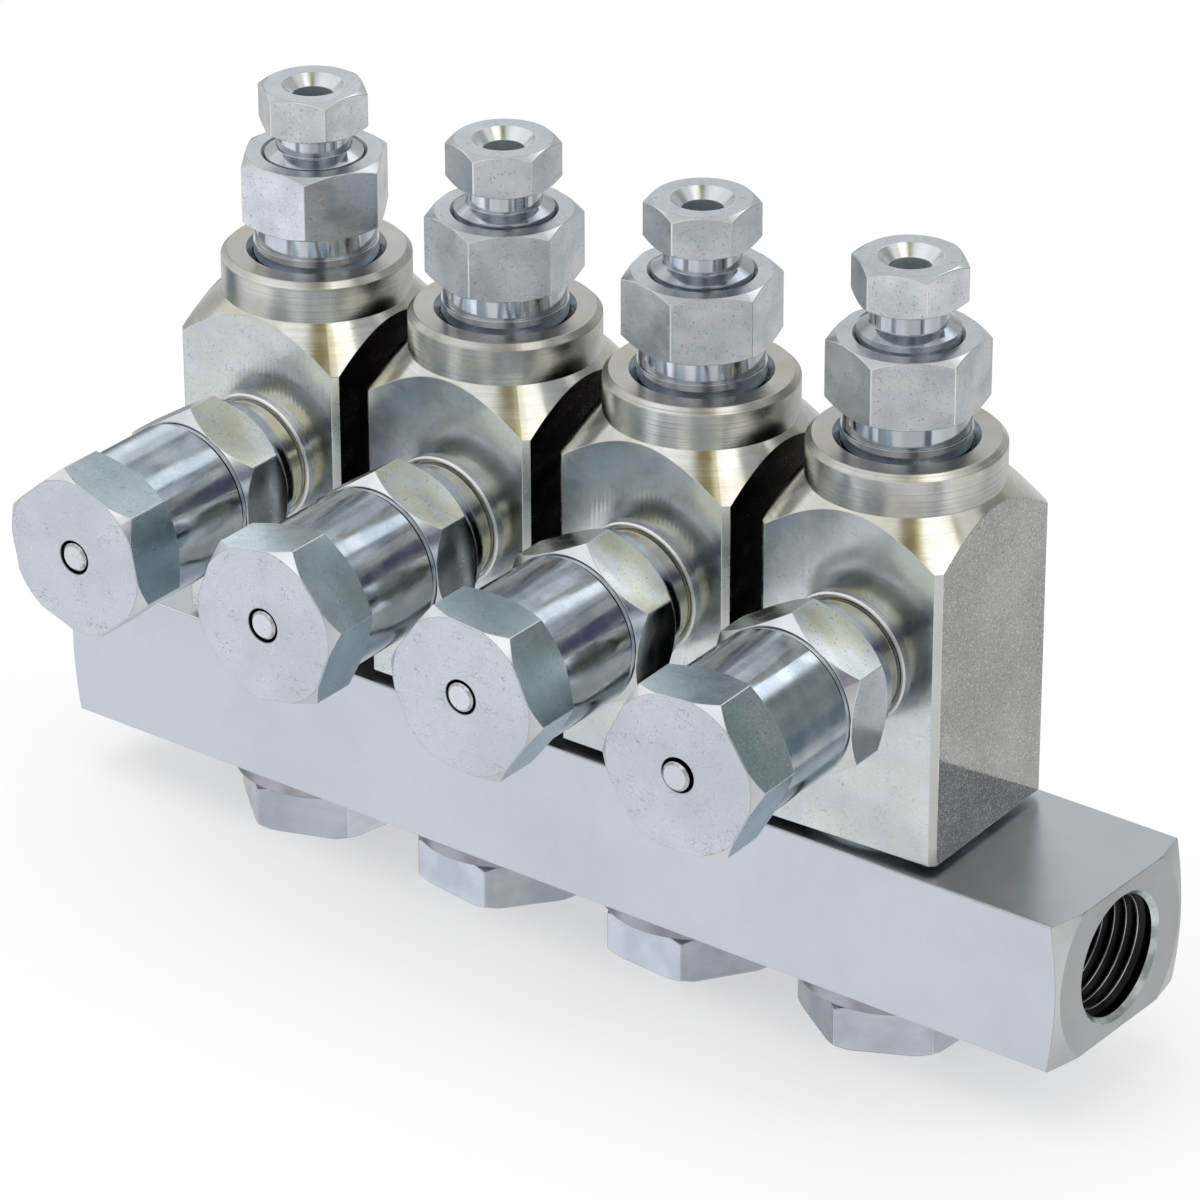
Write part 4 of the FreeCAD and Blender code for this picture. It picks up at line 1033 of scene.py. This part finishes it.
def still_pieces(number, stand):
    top = BODY_FOOT + COLLAR_TOP
    return (
        ("adapter", adapter_profile, hexagon(ADAPTER_FLATS, stand["adapter"]),
         upright(number, top), "fitting_steel", f"outlet_adapter_{number}"),
        ("nut", nut_profile, hexagon(NUT_FLATS, stand["nut"], 0.2),
         upright(number, top + OUTLET_TOP + stand["rise"]), "fitting_steel", "tube_nuts"),
        ("cylinder", cylinder_profile, hexagon(CAP_FLATS, stand["cylinder"]),
         forward(number, CYLINDER_SEAT), "fitting_steel", f"piston_cylinder_{number}"),
        ("cap", cap_profile, hexagon(CAP_FLATS, stand["cap"]),
         forward(number, CAP_SEAT), "fitting_steel", f"end_cap_{number}"),
        ("port_ring", port_seal_profile, round_columns(),
         forward(number, PORT_SEAL_SEAT), "seal_ring_steel", "port_seals"),
        ("bolt_washer", bonded_seal_profile, round_columns(),
         upright(number, 0.0), "seal_ring_steel", "bonded_seals"),
        ("bolt", bolt_profile, hexagon(BOLT_FLATS, stand["bolt"], 0.25),
         upright(number, 0.0), "bolt_steel", "adapter_bolts"),
    )


def make_still_pieces(number, stand):
    # The cylinders' right-hand flats are painted darker as shade
    right_flat = SHADED_LAPPED_FLAT if number == len(INJECTORS) else GAP_REFLECTION_FLAT
    for name, profile, outline, place, slot, node in still_pieces(number, stand):
        piece = turned(f"{name}_{number}", profile, outline, place)
        if name in ("adapter", "nut", "cylinder", "cap"):
            brighten_edges(piece, stand[name], right_flat if name == "cylinder" else None)
        dress(piece, "manifold", slot, node)


make_bar()
for number, stand in enumerate(INJECTORS, 1):
    make_body(number)
    make_still_pieces(number, stand)
    make_pin(number, stand["pin"])
    make_spring(number)

# The pieces that keep their shape get their finish here

KEPT_PIECES = (
    ("body_gaskets", GASKET), ("ferrules", BRASS), ("outlet_check", RUBBER), ("piston_seal", RUBBER),
    ("piston_", PISTON),
)
for name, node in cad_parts.items():
    for start, material in KEPT_PIECES:
        if name.startswith(start) and not node.hide_render:
            for holder in node.material_slots:
                holder.material = material
            break


# Floor

def make_floor():
    """White paper that is plain white to the camera but for the shadow close to the part."""
    height = (BOLT_FOOT - BAR_HEIGHT / 2) * MM
    size = 3.0
    corners = [(-size, -size, height), (size, -size, height), (size, size, height), (-size, size, height)]
    mesh = bpy.data.meshes.new("floor")
    mesh.from_pydata(corners, [], [(0, 1, 2, 3)])
    floor = add_object("floor", mesh)
    mesh.materials.append(white_paper())
    floor.visible_glossy = False


def white_paper():
    material, tree, surface = new_material("white_paper")
    surface.inputs["Base Color"].default_value = (0.93, 0.93, 0.935, 1)
    surface.inputs["Roughness"].default_value = 0.6
    surface.inputs["Specular IOR Level"].default_value = 0.1
    half_row, row_y = 0.060, -0.012
    x, y, z = tree.parts(tree.add("ShaderNodeTexCoord").outputs["Object"])
    beside = tree.math("MAXIMUM", tree.math("SUBTRACT", tree.math("ABSOLUTE", x), half_row), 0.0)
    before = tree.math("SUBTRACT", y, row_y)
    decimetres = tree.math("MULTIPLY", tree.length(beside, before), 10.0)
    paper = tree.ramp(decimetres, (0.05, 0.50), (0.55, 1.0))
    seen = tree.add("ShaderNodeLightPath").outputs["Is Camera Ray"]
    blend = tree.add("ShaderNodeMixShader")
    tree.put(blend.inputs[0], tree.math("MULTIPLY", seen, paper))
    tree.put(blend.inputs[1], surface.outputs[0])
    tree.put(blend.inputs[2], tree.add("ShaderNodeEmission").outputs[0])
    tree.put(material.node_tree.nodes["Material Output"].inputs[0], blend.outputs[0])
    return material


# Surroundings that the metal mirrors: a soft vertical shading, and over it patches of light and dark.
# Each patch has its direction, the angles in degrees where it is full and where it ends, and its colour.

GLOWS = (
    # Low in front, seen in the blocks' fronts and the hexagons' flats
    ((0.25, 0.85, -0.456), 14, 36, (0.52, 0.53, 0.53)),
    ((0.05, -0.89, -0.456), 12, 28, (0.88, 0.89, 0.90)),
    ((-0.54, -0.71, -0.456), 18, 40, (0.98, 1.01, 1.06)),
    ((0.86, 0.18, -0.456), 18, 31, (0.98, 0.98, 0.97)),
    ((-0.885, -0.07, -0.456), 9, 15, (0.24, 0.29, 0.32)),
    ((-0.16, -0.88, -0.456), 4, 9, (0.36, 0.37, 0.37)),
    ((0.846, -0.275, -0.456), 3, 8, (0.16, 0.19, 0.22)),
    # Round the caps and cylinders, seen in their barrels and flats
    ((0.10, 0.70, -0.70), 12, 30, (0.75, 0.76, 0.76)),
    ((-0.54, 0.71, 0.456), 12, 24, (0.78, 0.80, 0.80)),
    ((-0.66, 0.70, 0.22), 6, 13, (1.05, 1.08, 1.12)),
    ((0.656, 0.706, 0.265), 23, 31, (0.25, 0.27, 0.27)),
    ((0.67, 0.70, -0.20), 6, 14, (0.16, 0.20, 0.23)),
    ((-0.66, 0.70, -0.18), 4, 12, (0.16, 0.22, 0.25)),
    ((0.09, 0.70, 0.705), 8, 18, (1.05, 1.08, 1.10)),
    ((0.183, 0.706, 0.684), 5, 10, (1.35, 1.42, 1.48)),
    ((-0.37, 0.706, 0.60), 2, 7, (0.36, 0.40, 0.42)),
    # Overhead, seen in the shoulders' cones and the turned bevels
    ((-0.38, -0.51, 0.77), 14, 26, (1.05, 1.06, 1.07)),
    ((0.15, -0.71, 0.69), 14, 26, (1.10, 1.12, 1.13)),
    ((-0.85, -0.15, 0.50), 12, 26, (0.95, 0.95, 0.95)),
    ((0.55, 0.30, 0.78), 8, 20, (0.85, 0.84, 0.80)),
    ((0.05, -0.66, -0.75), 8, 18, (0.34, 0.41, 0.46)),
    ((0.68, -0.66, 0.31), 8, 13, (0.06, 0.06, 0.14)),
    ((0.45, -0.15, 0.88), 16, 24, (0.26, 0.23, 0.12)),
    ((0.50, -0.08, 0.86), 11, 15, (1.05, 0.97, 0.60)),
    ((0.51, -0.07, 0.855), 9, 13, (1.60, 1.58, 1.55)),
)


def glow(tree, direction, axis, inner, outer, colour, under):
    """Blend a patch of light or dark into the surroundings, round a direction."""
    dot = tree.add("ShaderNodeVectorMath", operation="DOT_PRODUCT")
    tree.put(dot.inputs[0], direction)
    dot.inputs[1].default_value = Vector(axis).normalized()
    reach = tree.add("ShaderNodeMapRange", interpolation_type="SMOOTHSTEP")
    tree.put(reach.inputs[0], dot.outputs["Value"])
    reach.inputs[1].default_value = math.cos(math.radians(outer))
    reach.inputs[2].default_value = math.cos(math.radians(inner))
    return tree.mix(reach.outputs[0], under, colour)


def make_surroundings():
    world = bpy.data.worlds.new("studio")
    bpy.context.scene.world = world
    world.use_nodes = True
    world.node_tree.nodes.clear()
    tree = Tree(world.node_tree)
    out = tree.add("ShaderNodeOutputWorld")
    sky = tree.add("ShaderNodeBackground")
    tree.put(out.inputs[0], sky.outputs[0])
    direction = tree.add("ShaderNodeTexCoord").outputs["Generated"]
    height = tree.math("MULTIPLY_ADD", tree.parts(direction)[2], 0.5, 0.5)
    top = (0.62, 0.63, 0.62)
    shade = tree.ramp(height, (0.0, 0.70), (0.42, 0.66), (0.55, 0.50), (0.75, 0.52), (1.0, top))
    for axis, inner, outer, colour in GLOWS:
        shade = glow(tree, direction, axis, inner, outer, colour, shade)
    path = tree.add("ShaderNodeLightPath")
    mirrored = tree.mix(path.outputs["Is Glossy Ray"], (0.80, 0.80, 0.80), shade)
    tree.put(sky.inputs["Color"], tree.mix(path.outputs["Is Camera Ray"], mirrored, (1.0, 1.0, 1.0)))


# Lamps and camera

def softbox(name, place, width, height, energy):
    """Area lamp that points at the part and isn't mirrored in it."""
    target = Vector((0, -0.02, 0.02))
    light = bpy.data.lights.new(name, "AREA")
    light.shape = "RECTANGLE"
    light.size, light.size_y = width, height
    light.energy = energy
    lamp = add_object(name, light)
    lamp.visible_glossy = False
    lamp.location = place
    lamp.rotation_mode = "QUATERNION"
    lamp.rotation_quaternion = (target - Vector(place)).to_track_quat("-Z", "Y")


def make_camera():
    azimuth, elevation, roll = math.radians(37.472), math.radians(27.122), math.radians(-0.187)
    target, distance = Vector((-0.634, -11.0, 18.875)), 641.693
    back = Vector((
        math.sin(azimuth) * math.cos(elevation),
        -math.cos(azimuth) * math.cos(elevation),
        math.sin(elevation),
    ))
    level = Vector((math.cos(azimuth), math.sin(azimuth), 0))
    right = math.cos(roll) * level + math.sin(roll) * back.cross(level)
    up = -math.sin(roll) * level + math.cos(roll) * back.cross(level)
    lens = bpy.data.cameras.new("camera")
    lens.sensor_width = 36.0
    lens.lens = 192.63
    lens.shift_x = 0.0003
    lens.shift_y = 0.002
    lens.clip_start = 0.05
    lens.clip_end = 20
    camera = add_object("camera", lens)
    turn = Matrix((right, up, back)).transposed().to_4x4()
    camera.matrix_world = Matrix.Translation((target + back * distance) * MM) @ turn
    bpy.context.scene.camera = camera
    bpy.context.scene.view_settings.view_transform = "Standard"


make_floor()
make_surroundings()
softbox("top_light", (-0.15, -0.25, 0.75), 0.7, 0.7, 2.6)
softbox("side_light", (0.75, 0.35, 0.45), 0.3, 0.5, 0.9)
make_camera()
